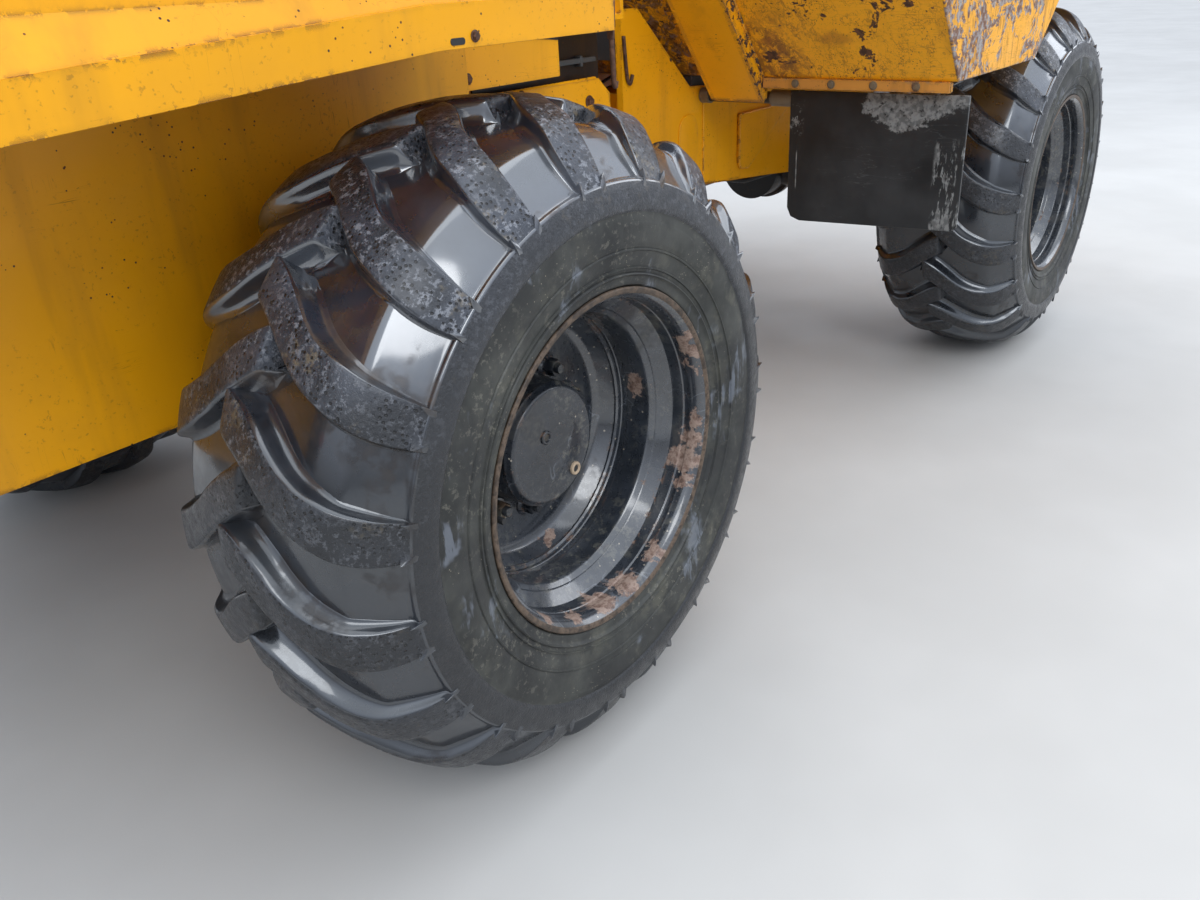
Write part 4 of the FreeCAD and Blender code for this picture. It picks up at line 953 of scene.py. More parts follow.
# groove floor, flat shoulder pocket with its raised lip, band, side wall and bead, as (s, r)
FLOOR = [(0.0, 0.5450), (0.04, 0.5448), (0.08, 0.5438), (0.11, 0.5420), (0.135, 0.5388), (0.152, 0.5350), (0.163, 0.5316), (0.1690, 0.5290),
         (0.1735, 0.5258), (0.1780, 0.5214), (0.1880, 0.5112), (0.1990, 0.4998), (0.2100, 0.4882), (0.2190, 0.4782), (0.2252, 0.4706),
         (0.2272, 0.4682), (0.2288, 0.4668), (0.2306, 0.4662), (0.2334, 0.4662), (0.2356, 0.4658), (0.2372, 0.4644), (0.2380, 0.4622)]
WALL_BAND = [(0.2392, 0.4580), (0.2414, 0.4500), (0.2434, 0.4420), (0.2446, 0.4350), (0.2450, 0.4280), (0.2446, 0.4222), (0.2436, 0.4194),
             (0.2420, 0.4180)]
WALL = [(0.2410, 0.4165), (0.2408, 0.4148), (0.2418, 0.4110), (0.2426, 0.4050), (0.2430, 0.3950), (0.2428, 0.3860),
        (0.2422, 0.3770), (0.2412, 0.3690), (0.2402, 0.3630), (0.2391, 0.3608), (0.2412, 0.3592), (0.2412, 0.3572), (0.2386, 0.3560),
        (0.2376, 0.3510), (0.2362, 0.3440), (0.2348, 0.3372), (0.2336, 0.3330), (0.2334, 0.3312), (0.2360, 0.3300), (0.2360, 0.3284),
        (0.2328, 0.3272), (0.2318, 0.3236), (0.2310, 0.3214), (0.2340, 0.3200), (0.2346, 0.3182), (0.2326, 0.3164), (0.2298, 0.3148),
        (0.2288, 0.3120), (0.2284, 0.3094), (0.2280, 0.3060), (0.2272, 0.3020), (0.2252, 0.2994), (0.2214, 0.2984)]
INSIDE = [(0.2185, 0.2900), (0.2170, 0.2864), (0.1920, 0.2862), (0.1890, 0.3100), (0.2140, 0.3500), (0.2230, 0.4000), (0.2150, 0.4460),
          (0.1720, 0.4960), (0.0900, 0.5180)]
RING_N = 228


def tyre_mesh(cx, side, phase, hero):
    """Carcass turned from the wall and groove profile, with 19 lugs a side in staggered chevrons.
    phase is a lug's front edge at the shoulder, in degrees from the top towards the rear."""
    acc = Acc()

    def world(s, r, deg):
        a = math.radians(deg)
        if s < 0 and r < 0.37:                # the far bead sits on a narrower rim
            s += 0.015 * min(1.0, (0.37 - r) / 0.04)
        return (cx - r * math.sin(a), side * (TYRE_Y + s), 0.585 + r * math.cos(a))

    half = FLOOR + WALL_BAND + WALL
    prof = [(-s, r) for s, r in reversed(half[1:])] + half + INSIDE + [(-s, r) for s, r in reversed(INSIDE)]
    n_half = len(half)
    kinds = []
    for i in range(len(prof)):
        j = i if i < 2 * n_half - 1 else None
        if j is None:
            kinds.append(2)
            continue
        k = abs(j - (n_half - 1))
        kinds.append(1 if k < len(FLOOR) else (3 if k < len(FLOOR) + len(WALL_BAND) else 2))
    n = RING_N if hero else 133
    verts = []
    for s, r in prof:
        for k in range(n):
            deg = 360.0 * k / n
            rr, ss = r, s
            if 0.47 < r < 0.546 and abs(s) < 0.246:      # floors are not quite even
                q = Vector((math.cos(math.radians(deg)) * r, math.sin(math.radians(deg)) * r, s))
                rr = r + 0.0012 * noise.noise(q * 9.0)
            elif 0.34 < r < 0.46 and abs(s) > 0.225:
                q = Vector((math.cos(math.radians(deg)) * r, math.sin(math.radians(deg)) * r, s * 4))
                ss = s + math.copysign(0.0009 * noise.noise(q * 7.0), s)
            verts.append(world(ss, rr, deg))
    rows = len(prof)
    faces, mats = [], []
    for i in range(rows):
        i2 = (i + 1) % rows
        for k in range(n):
            k2 = (k + 1) % n
            f = (i * n + k, i * n + k2, i2 * n + k2, i2 * n + k)
            faces.append(f if side < 0 else tuple(reversed(f)))
            mats.append(max(kinds[i], kinds[i2]) if kinds[i] != kinds[i2] else kinds[i])
    acc.v, acc.f, acc.m = [tuple(v) for v in verts], faces, mats

    # ---- lugs
    def floor_at(s):
        xs, rs = zip(*FLOOR)
        return float(np.interp(abs(s), xs, rs))

    nose = [(-0.0455, -0.010), (-0.0425, -0.002), (-0.0390, 0.005), (-0.0355, 0.013), (-0.0325, 0.021), (-0.0300, 0.0290), (-0.0282, 0.0345)]
    path = [(s, floor_at(s) + h) for s, h in nose]
    path += [(-0.0268, crown(0.0268) - 0.0026), (-0.0245, crown(0.0245) - 0.0010), (-0.0215, crown(0.0215) - 0.0002)]
    path += [(s, crown(s)) for s in np.linspace(-0.018, 0.165, 22 if hero else 13)]
    path += [(s, crown(s)) for s in np.linspace(0.172, 0.2365, 13 if hero else 7)]
    path += [(0.2392, 0.4560), (0.2405, 0.4470), (0.2400, 0.4400)]
    # flank: (share of height, outward distance from the top edge) from the buried foot to the top
    flank = [(-0.14, 0.0190), (0.0, 0.0170), (0.035, 0.0142), (0.09, 0.0112), (0.18, 0.0084), (0.34, 0.0060), (0.55, 0.0042), (0.76, 0.0024),
             (0.88, 0.0010), (0.945, -0.0010), (0.982, -0.0036), (1.0, -0.0074)]
    if not hero:
        flank = flank[:2] + flank[3:11:2] + flank[-2:]
    tops = 5 if hero else 3
    for half_sign in (1, -1):
        for k in range(LUGS):
            base = phase + k * PITCH + (PITCH / 2 if half_sign < 0 else 0.0)
            seed = Vector((k * 3.7, half_sign * 11.0, cx * 5 + side))
            grid, kinds2 = [], []
            for s, top in path:
                f = floor_at(s)
                hgt = top - f
                u = float(np.interp(s, UP_X, UP_Y))
                l = float(np.interp(s, LOW_X, LOW_Y))
                su = (np.interp(s + 0.002, UP_X, UP_Y) - np.interp(s - 0.002, UP_X, UP_Y)) / 0.004
                sl = (np.interp(s + 0.002, LOW_X, LOW_Y) - np.interp(s - 0.002, LOW_X, LOW_Y)) / 0.004
                ku = math.sqrt(1 + (math.radians(su) * 0.57) ** 2)
                kl = math.sqrt(1 + (math.radians(sl) * 0.57) ** 2)
                lean = math.sqrt(1.0 + ((crown(s + 0.003) - crown(s - 0.003)) / 0.006) ** 2) if s > 0.02 else 1.0
                scale = min(1.0, max(0.10, hgt / lean / 0.034))
                row = []
                for share, out in flank:
                    row.append((f + hgt * share if hgt > 0 else f + share * 0.02 + hgt, u - math.degrees(out * scale * ku / 0.57)))
                a_in = u + math.degrees(0.0074 * scale * ku / 0.57)
                b_in = l - math.degrees(0.0074 * scale * kl / 0.57)
                for t in range(1, tops + 1):
                    w = t / (tops + 1)
                    row.append((top + 0.0, a_in * (1 - w) + b_in * w))
                for share, out in reversed(flank):
                    row.append((f + hgt * share if hgt > 0 else f + share * 0.02 + hgt, l + math.degrees(out * scale * kl / 0.57)))
                grid.append([(s, r, d) for r, d in row])
            cols = len(grid[0])
            vs = []
            nf = len(flank)
            for gi, row in enumerate(grid):
                for ci, (s, r, d) in enumerate(row):
                    ss = s * half_sign
                    deg = base + d
                    p = Vector((math.cos(math.radians(deg)) * r, math.sin(math.radians(deg)) * r, ss))
                    wear = 0.0
                    if nf - 4 <= ci <= cols - nf + 3 and r > 0.48:
                        wear = 0.0010 * (0.5 + 0.5 * noise.noise(p * 26.0 + seed)) + 0.0012 * (0.5 + 0.5 * noise.noise(p * 8.0 + seed))
                        if ci in (nf - 4, nf - 3, nf - 2, cols - nf + 1, cols - nf + 2, cols - nf + 3):
                            wear += 0.0022 * max(0.0, noise.noise(p * 34.0 - seed) - 0.12)
                    else:
                        deg += 0.10 * noise.noise(p * 14.0 + seed)
                    vs.append(world(ss, r - wear, deg))
            fs, ms = [], []
            rows2 = len(grid)
            for i in range(rows2 - 1):
                for j in range(cols):
                    j2 = (j + 1) % cols
                    q = (i * cols + j, i * cols + j2, (i + 1) * cols + j2, (i + 1) * cols + j)
                    fs.append(q)
                    on_top = nf - 3 <= j <= cols - nf + 1 and grid[i][j][0] < 0.2340
                    ms.append(0 if on_top else 1)
            fs.append(tuple(reversed(range(cols))))
            ms.append(1)
            fs.append(tuple(range((rows2 - 1) * cols, rows2 * cols)))
            ms.append(1)
            flip = (side > 0) != (half_sign > 0)
            if flip:
                fs = [tuple(reversed(q)) for q in fs]
            o = len(acc.v)
            acc.v.extend(vs)
            acc.f.extend([tuple(i + o for i in q) for q in fs])
            acc.m.extend(ms)
    return acc


def plaque(acc, cx, side, a0, a1, r0, r1, lift=0.0012, mat=2, n=26, curve=0.0):
    """A thin bare pad on the side wall, between two angles and radii, with soft edges."""
    xs, ss = zip(*sorted((r, s) for s, r in WALL))
    rows = []
    edge = [(0.0, -0.0010), (0.0, 0.35), (0.06, 0.85), (0.14, 1.0), (0.5, 1.0), (0.86, 1.0), (0.94, 0.85), (1.0, 0.35), (1.0, -0.0010)]
    for i in range(n + 1):
        t = i / n
        deg = a0 + (a1 - a0) * t
        ends = min(1.0, 9.0 * t, 9.0 * (1 - t))
        taper = math.sqrt(max(0.0, 1 - (1 - min(1.0, 6.0 * min(t, 1 - t))) ** 2)) if curve else 1.0
        mid = (r0 + r1) / 2
        row = []
        for share, up_share in edge:
            r = mid + (share - 0.5) * (r1 - r0) * (taper if curve else 1.0)
            s = float(np.interp(r, xs, ss)) + (lift * up_share * (0.25 + 0.75 * ends) if up_share > 0 else -0.004)
            a = math.radians(deg)
            row.append((cx - r * math.sin(a), side * (TYRE_Y + s), 0.585 + r * math.cos(a)))
        rows.append(row)
    c = len(edge)
    vs = [p for row in rows for p in row]
    fs = []
    for i in range(n):
        for j in range(c):
            j2 = (j + 1) % c
            q = (i * c + j, i * c + j2, (i + 1) * c + j2, (i + 1) * c + j)
            fs.append(q if side > 0 else tuple(reversed(q)))
    e0, e1 = tuple(reversed(range(c))), tuple(range(n * c, (n + 1) * c))
    fs += [e0, e1] if side > 0 else [tuple(reversed(e0)), tuple(reversed(e1))]
    acc.add(vs, fs, mat)


def arc_fillet(points, r, seg=3):
    """Rounds the corners of a closed (a, b) profile."""
    out = []
    n = len(points)
    for i in range(n):
        a, b, c = np.array(points[i - 1], float), np.array(points[i], float), np.array(points[(i + 1) % n], float)
        u, w = a - b, c - b
        lu, lw = np.linalg.norm(u), np.linalg.norm(w)
        k = min(r, lu * 0.42, lw * 0.42)
        p, q = b + u / lu * k, b + w / lw * k
        for t in np.linspace(0, 1, seg + 1):
            out.append(tuple((1 - t) ** 2 * p + 2 * t * (1 - t) * b + t * t * q))
    return out


RIM_OUT = [(0.2100, 0.2960), (0.2072, 0.2985), (0.2030, 0.2975), (0.2018, 0.2935), (0.2015, 0.2860), (0.1500, 0.2825), (0.1180, 0.2500),
           (-0.0600, 0.2500), (-0.1000, 0.2825), (-0.2265, 0.2860), (-0.2268, 0.2935), (-0.2280, 0.2975), (-0.2322, 0.2985), (-0.2350, 0.2960)]
RIM_IN_BACK = [(-0.2335, 0.2895), (-0.2230, 0.2800), (-0.2150, 0.2765), (-0.1080, 0.2745), (-0.0660, 0.2415), (-0.0230, 0.2412), (-0.0230, 0.2180),
               (-0.0230, 0.1700), (-0.0310, 0.1500), (-0.0310, 0.0420)]
RIM_IN_FRONT = [(-0.0050, 0.1240), (-0.0050, 0.2060), (0.0010, 0.2200), (0.0340, 0.2412), (0.0420, 0.2412), (0.0440, 0.2435), (0.0560, 0.2435),
                (0.0580, 0.2412), (0.1080, 0.2412), (0.1400, 0.2738), (0.1640, 0.2745), (0.1660, 0.2768), (0.1760, 0.2768), (0.1780, 0.2750),
                (0.1900, 0.2760), (0.1990, 0.2795), (0.2085, 0.2890)]


def rim_mesh(cx, side, hero, turn=0.0):
    """Drop-centre rim with rolled flanges, a welded disc, the hub drum, nuts, a plug and a valve."""
    acc = Acc()
    n = 120 if hero else 84
    mt = frame_to((cx, side * 0.95, 0.585), (0, side, 0), (1, 0, 0))
    prof = arc_fillet(RIM_OUT + RIM_IN_BACK + [(-0.0052, 0.0420)] + RIM_IN_FRONT, 0.0040, 3)
    v, f = lathe([(r, s) for s, r in prof], n, mt)
    mats = []
    rows = len(prof)
    for i in range(rows):
        s, r = prof[i]
        mats += [1 if (s > 0.2028 and r > 0.285) else 0] * n
    f = [tuple(reversed(q)) for q in f]
    o = len(acc.v)
    acc.v.extend([tuple(p) for p in v])
    acc.f.extend([tuple(i + o for i in q) for q in f])
    acc.m.extend(mats)
    # hub drum with its cap
    drum = [(0, -0.030), (0.1200, -0.030), (0.1230, -0.006), (0.1160, 0.004), (0.1135, 0.012), (0.1135, 0.050), (0.1125, 0.053), (0.1125, 0.0545),
            (0.1135, 0.0560), (0.1135, 0.0600), (0.1100, 0.0640), (0.1085, 0.0690), (0.1055, 0.0722), (0.1010, 0.0730), (0.0985, 0.0724),
            (0.0960, 0.0722), (0.0620, 0.0726), (0.0600, 0.0730), (0.0300, 0.0730), (0, 0.0730)]
    acc.add(*lathe(drum, 96 if hero else 64, mt), mat=2)
    # cap plugs: one proud and rusty, one flush
    for k, (ang, pr, mat) in enumerate(((141.0, 0.0855, 6), (-39.0, 0.0300, 2))):
        a = math.radians(ang + turn)
        p = mt @ Vector((pr * math.sin(a), pr * math.cos(a) * (1 if side < 0 else -1), 0.0720))
        p = Vector((cx + pr * math.sin(a), side * (0.95 + 0.0720), 0.585 + pr * math.cos(a)))
        pm = frame_to(p, (0, side, 0))
        acc.add(*lathe([(0, 0), (0.0125, 0), (0.0125, 0.0040), (0.0108, 0.0056), (0.0082, 0.0056), (0.0066, 0.0030), (0, 0.0024)], 24, pm), mat=mat)
        acc.add(*lathe([(0, 0.0018), (0.0064, 0.0018), (0.0064, 0.0034), (0, 0.0034)], 20, pm), mat=5)
    # weld between barrel and disc
    ring = [(math.cos(2 * math.pi * k / 180), math.sin(2 * math.pi * k / 180)) for k in range(181)]
    rnd = random.Random(3)
    pts = [mt @ Vector((0.2375 * c, 0.2375 * s, 0.0345)) for c, s in ring]
    rad = [0.0050 * (0.85 + 0.25 * abs(math.sin(i * 1.3)) + 0.1 * rnd.random()) for i in range(len(pts))]
    acc.add(*tube(pts, 0.005, 7, radii=rad), mat=0)
    # ten wheel nuts on studs
    for k in range(10):
        a = math.radians(37.0 + 36.0 * k + turn)
        p = Vector((cx + 0.1360 * math.sin(a), side * (0.95 - 0.005), 0.585 + 0.1360 * math.cos(a)))
        nm = frame_to(p, (0, side, 0)) @ Matrix.Rotation(0.5 * k, 4, "Z")
        acc.add(*lathe([(0, 0), (0.0225, 0), (0.0235, 0.002), (0.0190, 0.0075), (0, 0.0075)], 24, nm), mat=0)
        acc.add(*lathe([(0, 0.006), (0.0165, 0.006), (0.0165, 0.0230), (0.0142, 0.0262), (0, 0.0262)], 6, nm), mat=4 if k % 4 == 1 else 2)
        acc.add(*lathe([(0, 0.02), (0.0095, 0.02), (0.0095, 0.0345), (0.0082, 0.0362), (0, 0.0362)], 16, nm), mat=2)
    # valve stem by the flange
    a = math.radians(268.0 + turn)
    p0 = Vector((cx + 0.262 * math.sin(a), side * (0.95 + 0.121), 0.585 + 0.262 * math.cos(a)))
    inward = Vector((-math.sin(a), 0, -math.cos(a)))
    path = smooth_path([p0, p0 + inward * 0.016 + Vector((0, side * 0.004, 0)), p0 + inward * 0.024 + Vector((0, side * 0.040, 0))], 0.010, 5)
    acc.add(*tube(path, 0.0042, 12), mat=4)
    end = path[-1]
    acc.add(*lathe([(0, -0.002), (0.0052, -0.002), (0.0056, 0.0), (0.0056, 0.010), (0.0046, 0.012), (0, 0.012)], 14, frame_to(end, (0, side, 0))), mat=5)
    return acc


TYRES = {}
for name, cx, side, phase in WHEELS:
    hero = side < 0
    acc = tyre_mesh(cx, side, phase, hero)
    TYRES[name] = acc
    if hero:
        plaque(acc, cx, side, 156.0, 189.0, 0.370, 0.412, 0.0012, 2, 30, 1.0)
        plaque(acc, cx, side, -36.0, -3.0, 0.366, 0.402, 0.0009, 2, 30, 1.0)
    acc.piece(name + "_tyre_tread", [m_top, m_wet, m_wall, m_band], name + "_wheel", "tyre", sharp=48.0, replaces=[name + "_tyre"])
    rim_mesh(cx, side, hero).piece(name + "_rim_wheel", [m_rim, m_flange, m_hub, m_rust, m_bolt, m_plastic, m_tan], name + "_wheel",
                                   "rim_black", sharp=38.0, replaces=[name + "_rim"])


# -------------------------------------------------- carried-over CAD nodes
for node, mat, width in (
        ("rear_frame", m_body, 0.003), ("right_rear_cover", m_body, 0.004), ("left_rear_cover", m_body, 0.004), ("bonnet", m_clean, 0.006),
        ("front_frame", m_body, 0.003), ("skip_shell", m_skip_brightened, 0.004), ("skip_ribs", m_ribs_brightened, 0.004), ("rear_axle", m_axle, 0.004),
        ("front_axle", m_axle, 0.004), ("pivot_pin", m_steel, 0.003), ("engine_block", m_engine, 0.012), ("rear_driveshaft", m_axle, 0.003),
        ("front_driveshaft", m_axle, 0.003), ("engine_bulkhead", m_dark, 0.002), ("grille", m_dark, 0.002), ("rear_bumper", m_dark, 0.008),
        ("tow_jaw", m_dark, 0.004), ("operator_floor", m_body, 0.002), ("left_steps", m_dark, 0.003), ("seat_base", m_dark, 0.004),
        ("dash_column", m_plastic, 0.010), ("side_levers", m_plastic, 0.006), ("roll_bar", m_dark, 0.012), ("hand_rails", m_dark, 0.0),
        ("exhaust", m_exhaust, 0.003), ("tip_pins", m_steel, 0.002), ("mud_flaps", m_flap, 0.002), ("flap_bars", m_dark, 0.002),
        ("head_lamps", m_housing, 0.006), ("tail_lamps", m_red, 0.004), ("beacon", m_orange, 0.006), ("steering_wheel", m_plastic, 0.0),
        ("seat_cushion", m_vinyl, 0.02), ("seat_back", m_vinyl, 0.02)):
    skin(node, mat, width)
for s in ("right", "left"):
    for kind in ("steer", "tip"):
        skin(s + "_" + kind + "_barrel", m_dark if kind == "steer" else m_clean, 0.002)
        skin(s + "_" + kind + "_rod", m_chrome, 0.0015)


# ---------------------------------------------------------- rear of the machine
SIDE2 = ((-1, "right"), (1, "left"))


def round_rect(x0, x1, z0, z1, r, n=8):
    pts = []
    for cx, cz, a0 in ((x1 - r, z1 - r, 0), (x0 + r, z1 - r, 90), (x0 + r, z0 + r, 180), (x1 - r, z0 + r, 270)):
        pts += [(cx + r * math.cos(math.radians(a0 + 90 * k / n)), cz + r * math.sin(math.radians(a0 + 90 * k / n))) for k in range(n + 1)]
    return pts


def span(s, a, b):
    return (a, b) if s > 0 else (-b, -a)


def bar_y(acc, x, z, s, a, b, r, mat=0, n=14):
    lo, hi = span(s, a, b)
    acc.add(*tube([(x, lo, z), (x, hi, z)], r, n), mat=mat)


# floor: ribbed rubber mat, edge bolts, pedals
acc = Acc()
acc.add(*slab([(-0.845, -0.50), (-0.335, -0.50), (-0.315, -0.48), (-0.315, 0.48), (-0.335, 0.50), (-0.845, 0.50)], "XY", 1.2395, 1.2455, 0.0015), mat=0)
for k in range(25):
    x = -0.832 + 0.0205 * k
    acc.add(*block((x, -0.485, 1.2445), (x + 0.0085, 0.485, 1.2488), 0.0014, 1), mat=0)
for s in (-1, 1):
    for k in range(5):
        mt = frame_to((-0.82 + 0.115 * k, s * 0.530, 1.2400), (0, 0, 1))
        acc.join(hexhead(0.008, 0.006, mt))
        acc.m[-1] = 1
acc.piece("floor_mat_rubber", [m_plastic, m_bolt], "rear_chassis", "dark_plastic")

acc = Acc()
for k, (y, w) in enumerate(((-0.27, 0.042), (-0.175, 0.036), (0.20, 0.036))):
    acc.add(*tube(smooth_path([(-0.335, y, 1.246), (-0.372, y, 1.262), (-0.392, y, 1.312)], 0.012, 5), 0.0075, 12), mat=0)
    pm = frame_to((-0.398, y, 1.325), (-0.86, 0, 0.50), (0, 1, 0))
    acc.add(*block((-w, -0.028, -0.006), (w, 0.028, 0.006), 0.004, 2, pm), mat=1)
    for j in range(5):
        acc.add(*block((-w + 0.006, -0.022 + 0.010 * j, 0.0055), (w - 0.006, -0.018 + 0.010 * j, 0.0085), 0.001, 1, pm), mat=1)
acc.piece("pedals", [m_dark, m_plastic], "rear_chassis", "dark_plastic", sharp=40)

# hitch: bolts and welds on the side plates, black sheets of painted shade under the floor and on the side box, and a
# dusty pipe behind them
acc = Acc()
for s, side in SIDE2:
    face = s * 0.480
    bolt_row(acc, [(-0.592, face, 1.083), (-0.345, face, 1.045)], (0, s, 0), 0.011, 0.010)
    acc.add(*weld_bead([(-0.872, s * 0.4815, 0.992), (-0.50, s * 0.4815, 0.992), (-0.272, s * 0.4815, 0.992)], 0.0042, seed=3), mat=1)
    acc.add(*weld_bead([(-0.870, s * 0.478, 1.0965), (-0.62, s * 0.478, 1.0965), (-0.315, s * 0.478, 1.0965)], 0.0040, seed=5), mat=1)
    bolt_row(acc, [(-0.835, s * 0.5600, 1.148)], (0, s, 0), 0.0085, 0.007)
acc.piece("hitch_bolts_welds", [m_rust, m_body], "rear_chassis", "bare_steel", sharp=40)
acc = Acc()
for s, side in SIDE2:
    # painted shade: a black sheet stands in for the dark under the operator floor
    lo, hi = span(s, 0.4495, 0.4555)
    acc.add(*slab([(-0.72, 1.060), (-0.272, 1.060), (-0.272, 1.226), (-0.72, 1.226)], "XZ", lo, hi, 0.0015), mat=0)
    lo, hi = span(s, 0.457, 0.471)
    acc.add(*slab([(-0.545, 1.134), (-0.300, 1.134), (-0.300, 1.145), (-0.545, 1.147)], "XZ", lo, hi, 0.0015), mat=1)
    for x in (-0.50, -0.36):
        acc.add(*block((x, s * 0.463 - 0.009, 1.126), (x + 0.010, s * 0.463 + 0.011, 1.151), 0.002, 1), mat=1)
    # painted shadow: a thin black wedge on the side box under the floor's edge
    lo, hi = span(s, 0.5603, 0.5622)
    acc.add(*slab([(-0.858, 1.234), (-0.547, 1.200), (-0.547, 1.239), (-0.858, 1.239)], "XZ", lo, hi, 0.0006, 1), mat=0)
acc.piece("hitch_shade_sheets_and_strip", [m_axle, m_engine], "rear_chassis", "axle_black", sharp=40)

# rear covers: hook at the lip's end, bolts, slots, latches, straps, grab handles, filler cap
acc = Acc()
for s, side in SIDE2:
    y = s * 1.050
    acc.add(*slab([(y - 0.010, 1.318), (y + 0.010, 1.318), (y + 0.008, 1.262), (y + 0.0055, 1.235), (y - 0.0055, 1.235), (y - 0.008, 1.262)],
                  "YZ", -1.0025, -0.9975, 0.0012), mat=1)
    acc.add(*tube(smooth_path([(-0.9990, y, 1.262), (-0.9975, y, 1.20), (-0.9935, y - s * 0.002, 1.166), (-0.9870, y - s * 0.004, 1.161),
                               (-0.9835, y - s * 0.005, 1.170)], 0.006, 4), 0.0042, 10), mat=1)
    # slot and bolt low on the lip
    lo, hi = span(s, 1.0595, 1.0612)
    acc.add(*slab(round_rect(-1.3625, -1.3355, 1.2530, 1.2620, 0.0042), "XZ", lo, hi, 0.0003, 1), mat=2)
    o = len(acc.m)
    bolt_row(acc, [(-1.316, s * 1.0600, 1.2620)], (0, s, 0), 0.0060, 0.006)
    acc.m[o:] = [1] * (len(acc.m) - o)
    # top edge: rubber bead along the inner joint and hinge straps
    acc.add(*tube([(-2.10, s * 0.6135, 1.6425), (-1.50, s * 0.6135, 1.6425), (-1.03, s * 0.6135, 1.6425)], 0.0058, 10), mat=2)
    for k in range(3):
        x = -1.95 + 0.36 * k
        lo, hi = span(s, 0.690, 0.745)
        acc.add(*block((x, lo, 1.6395), (x + 0.085, hi, 1.6465), 0.002, 1), mat=0)
        bolt_row(acc, [(x + 0.022, s * 0.7175, 1.6462), (x + 0.063, s * 0.7175, 1.6462)], (0, 0, 1), 0.0075, 0.006)
    # quarter-turn latches and a pull on the sloped side
    for k, x in enumerate((-1.20, -1.62, -2.02)):
        pm = frame_to((x, s * 1.0085, 1.520), (0, s * 0.993, 0.12))
        o = len(acc.m)
        acc.add(*lathe([(0, -0.002), (0.024, -0.002), (0.026, 0.0), (0.026, 0.003), (0.022, 0.005), (0.012, 0.0052), (0.011, 0.009), (0, 0.0095)], 28, pm), mat=2)
    hm = frame_to((-1.41, s * 1.0105, 1.500), (0, s * 0.993, 0.12))
    acc.add(*tube(smooth_path([(-0.075, 0, -0.002), (-0.075, 0, 0.034), (0.075, 0, 0.034), (0.075, 0, -0.002)], 0.016, 6), 0.0065, 12, mt=hm), mat=2)
    for x in (-0.075, 0.075):
        acc.add(*lathe([(0, -0.001), (0.014, -0.001), (0.014, 0.003), (0, 0.003)], 18, hm @ Matrix.Translation((x, 0, 0))), mat=2)
    # seams of the access panel
    for a, b in (((-2.06, 1.395), (-1.12, 1.395)), ((-2.06, 1.595), (-1.12, 1.595))):
        ya = 1.0262 - (a[1] - 1.345) * 0.1170
        acc.add(*tube([(a[0], s * ya, a[1]), (b[0], s * ya, b[1])], 0.0022, 6), mat=2)
# filler on the left cover, non-slip pads on the right
fm = frame_to((-1.72, 0.86, 1.6395), (0, 0, 1))
acc.add(*lathe([(0, 0), (0.062, 0), (0.064, 0.006), (0.058, 0.010), (0.052, 0.011), (0.052, 0.030), (0.049, 0.036), (0.030, 0.039), (0, 0.040)], 40, fm), mat=2)
acc.add(*block((-0.012, -0.046, 0.036), (0.012, 0.046, 0.052), 0.005, 2, fm), mat=2)
for k in range(3):
    acc.add(*block((-1.40 + 0.11 * k, -0.93, 1.6395), (-1.325 + 0.11 * k, -0.70, 1.6420), 0.001, 1), mat=2)
for k in range(3):
    acc.add(*block((-1.40 + 0.11 * k, 0.70, 1.6395), (-1.325 + 0.11 * k, 0.93, 1.6420), 0.001, 1), mat=2)
acc.piece("cover_fittings", [m_bolt, m_rust, m_plastic], "rear_chassis", "dark_plastic", sharp=40)

# bonnet: louvres, handle, latches, beads
acc = Acc()
for s in (-1, 1):
    for k in range(9):
        x = -1.98 + 0.062 * k
        lo, hi = span(s, 0.16, 0.44)
        acc.add(*slab([(x, 1.7395), (x + 0.044, 1.7395), (x + 0.044, 1.7435), (x + 0.010, 1.7530), (x + 0.004, 1.7530)], "XZ", lo, hi, 0.0016, 1), mat=0)
    acc.add(*tube([(-1.15, s * 0.52, 1.7465), (-1.9, s * 0.52, 1.7465)], 0.0035, 8), mat=0)
    # rubber T latches low on the rear face
    for z in (1.330,):
        acc.add(*block((-2.2665, s * 0.505 - 0.016, z - 0.045), (-2.2600, s * 0.505 + 0.016, z + 0.045), 0.003, 2), mat=1)
        acc.add(*tube([(-2.272, s * 0.505 - 0.024, z - 0.03), (-2.272, s * 0.505 + 0.024, z - 0.03)], 0.006, 12), mat=1)
acc.add(*tube(smooth_path([(-2.258, -0.11, 1.682), (-2.292, -0.11, 1.682), (-2.292, 0.11, 1.682), (-2.258, 0.11, 1.682)], 0.018, 6), 0.008, 14), mat=1)
for y in (-0.11, 0.11):
    acc.add(*lathe([(0, -0.002), (0.017, -0.002), (0.017, 0.004), (0, 0.004)], 20, frame_to((-2.2605, y, 1.682), (-1, 0, 0))), mat=1)
acc.add(*lathe([(0, -0.003), (0.014, -0.003), (0.015, 0.002), (0.012, 0.006), (0.005, 0.0065), (0.005, 0.004), (0, 0.004)], 24,
               frame_to((-2.2605, 0.22, 1.682), (-1, 0, 0))), mat=2)
acc.piece("bonnet_louvres_handle", [m_clean, m_plastic, m_bolt], "bonnet", "body_paint", sharp=40)
acc = Acc()
for k in range(62):
    y = -0.455 + 0.0149 * k
    acc.add(*block((-2.2420, y - 0.0009, 1.343), (-2.2402, y + 0.0009, 1.637), 0, 1), mat=0)
for k in range(20):
    z = 1.350 + 0.0149 * k
    acc.add(*block((-2.2436, -0.455, z - 0.0009), (-2.2418, 0.455, z + 0.0009), 0, 1), mat=0)
acc.piece("grille_mesh", m_plastic, "bonnet", "dark_paint", sharp=40)

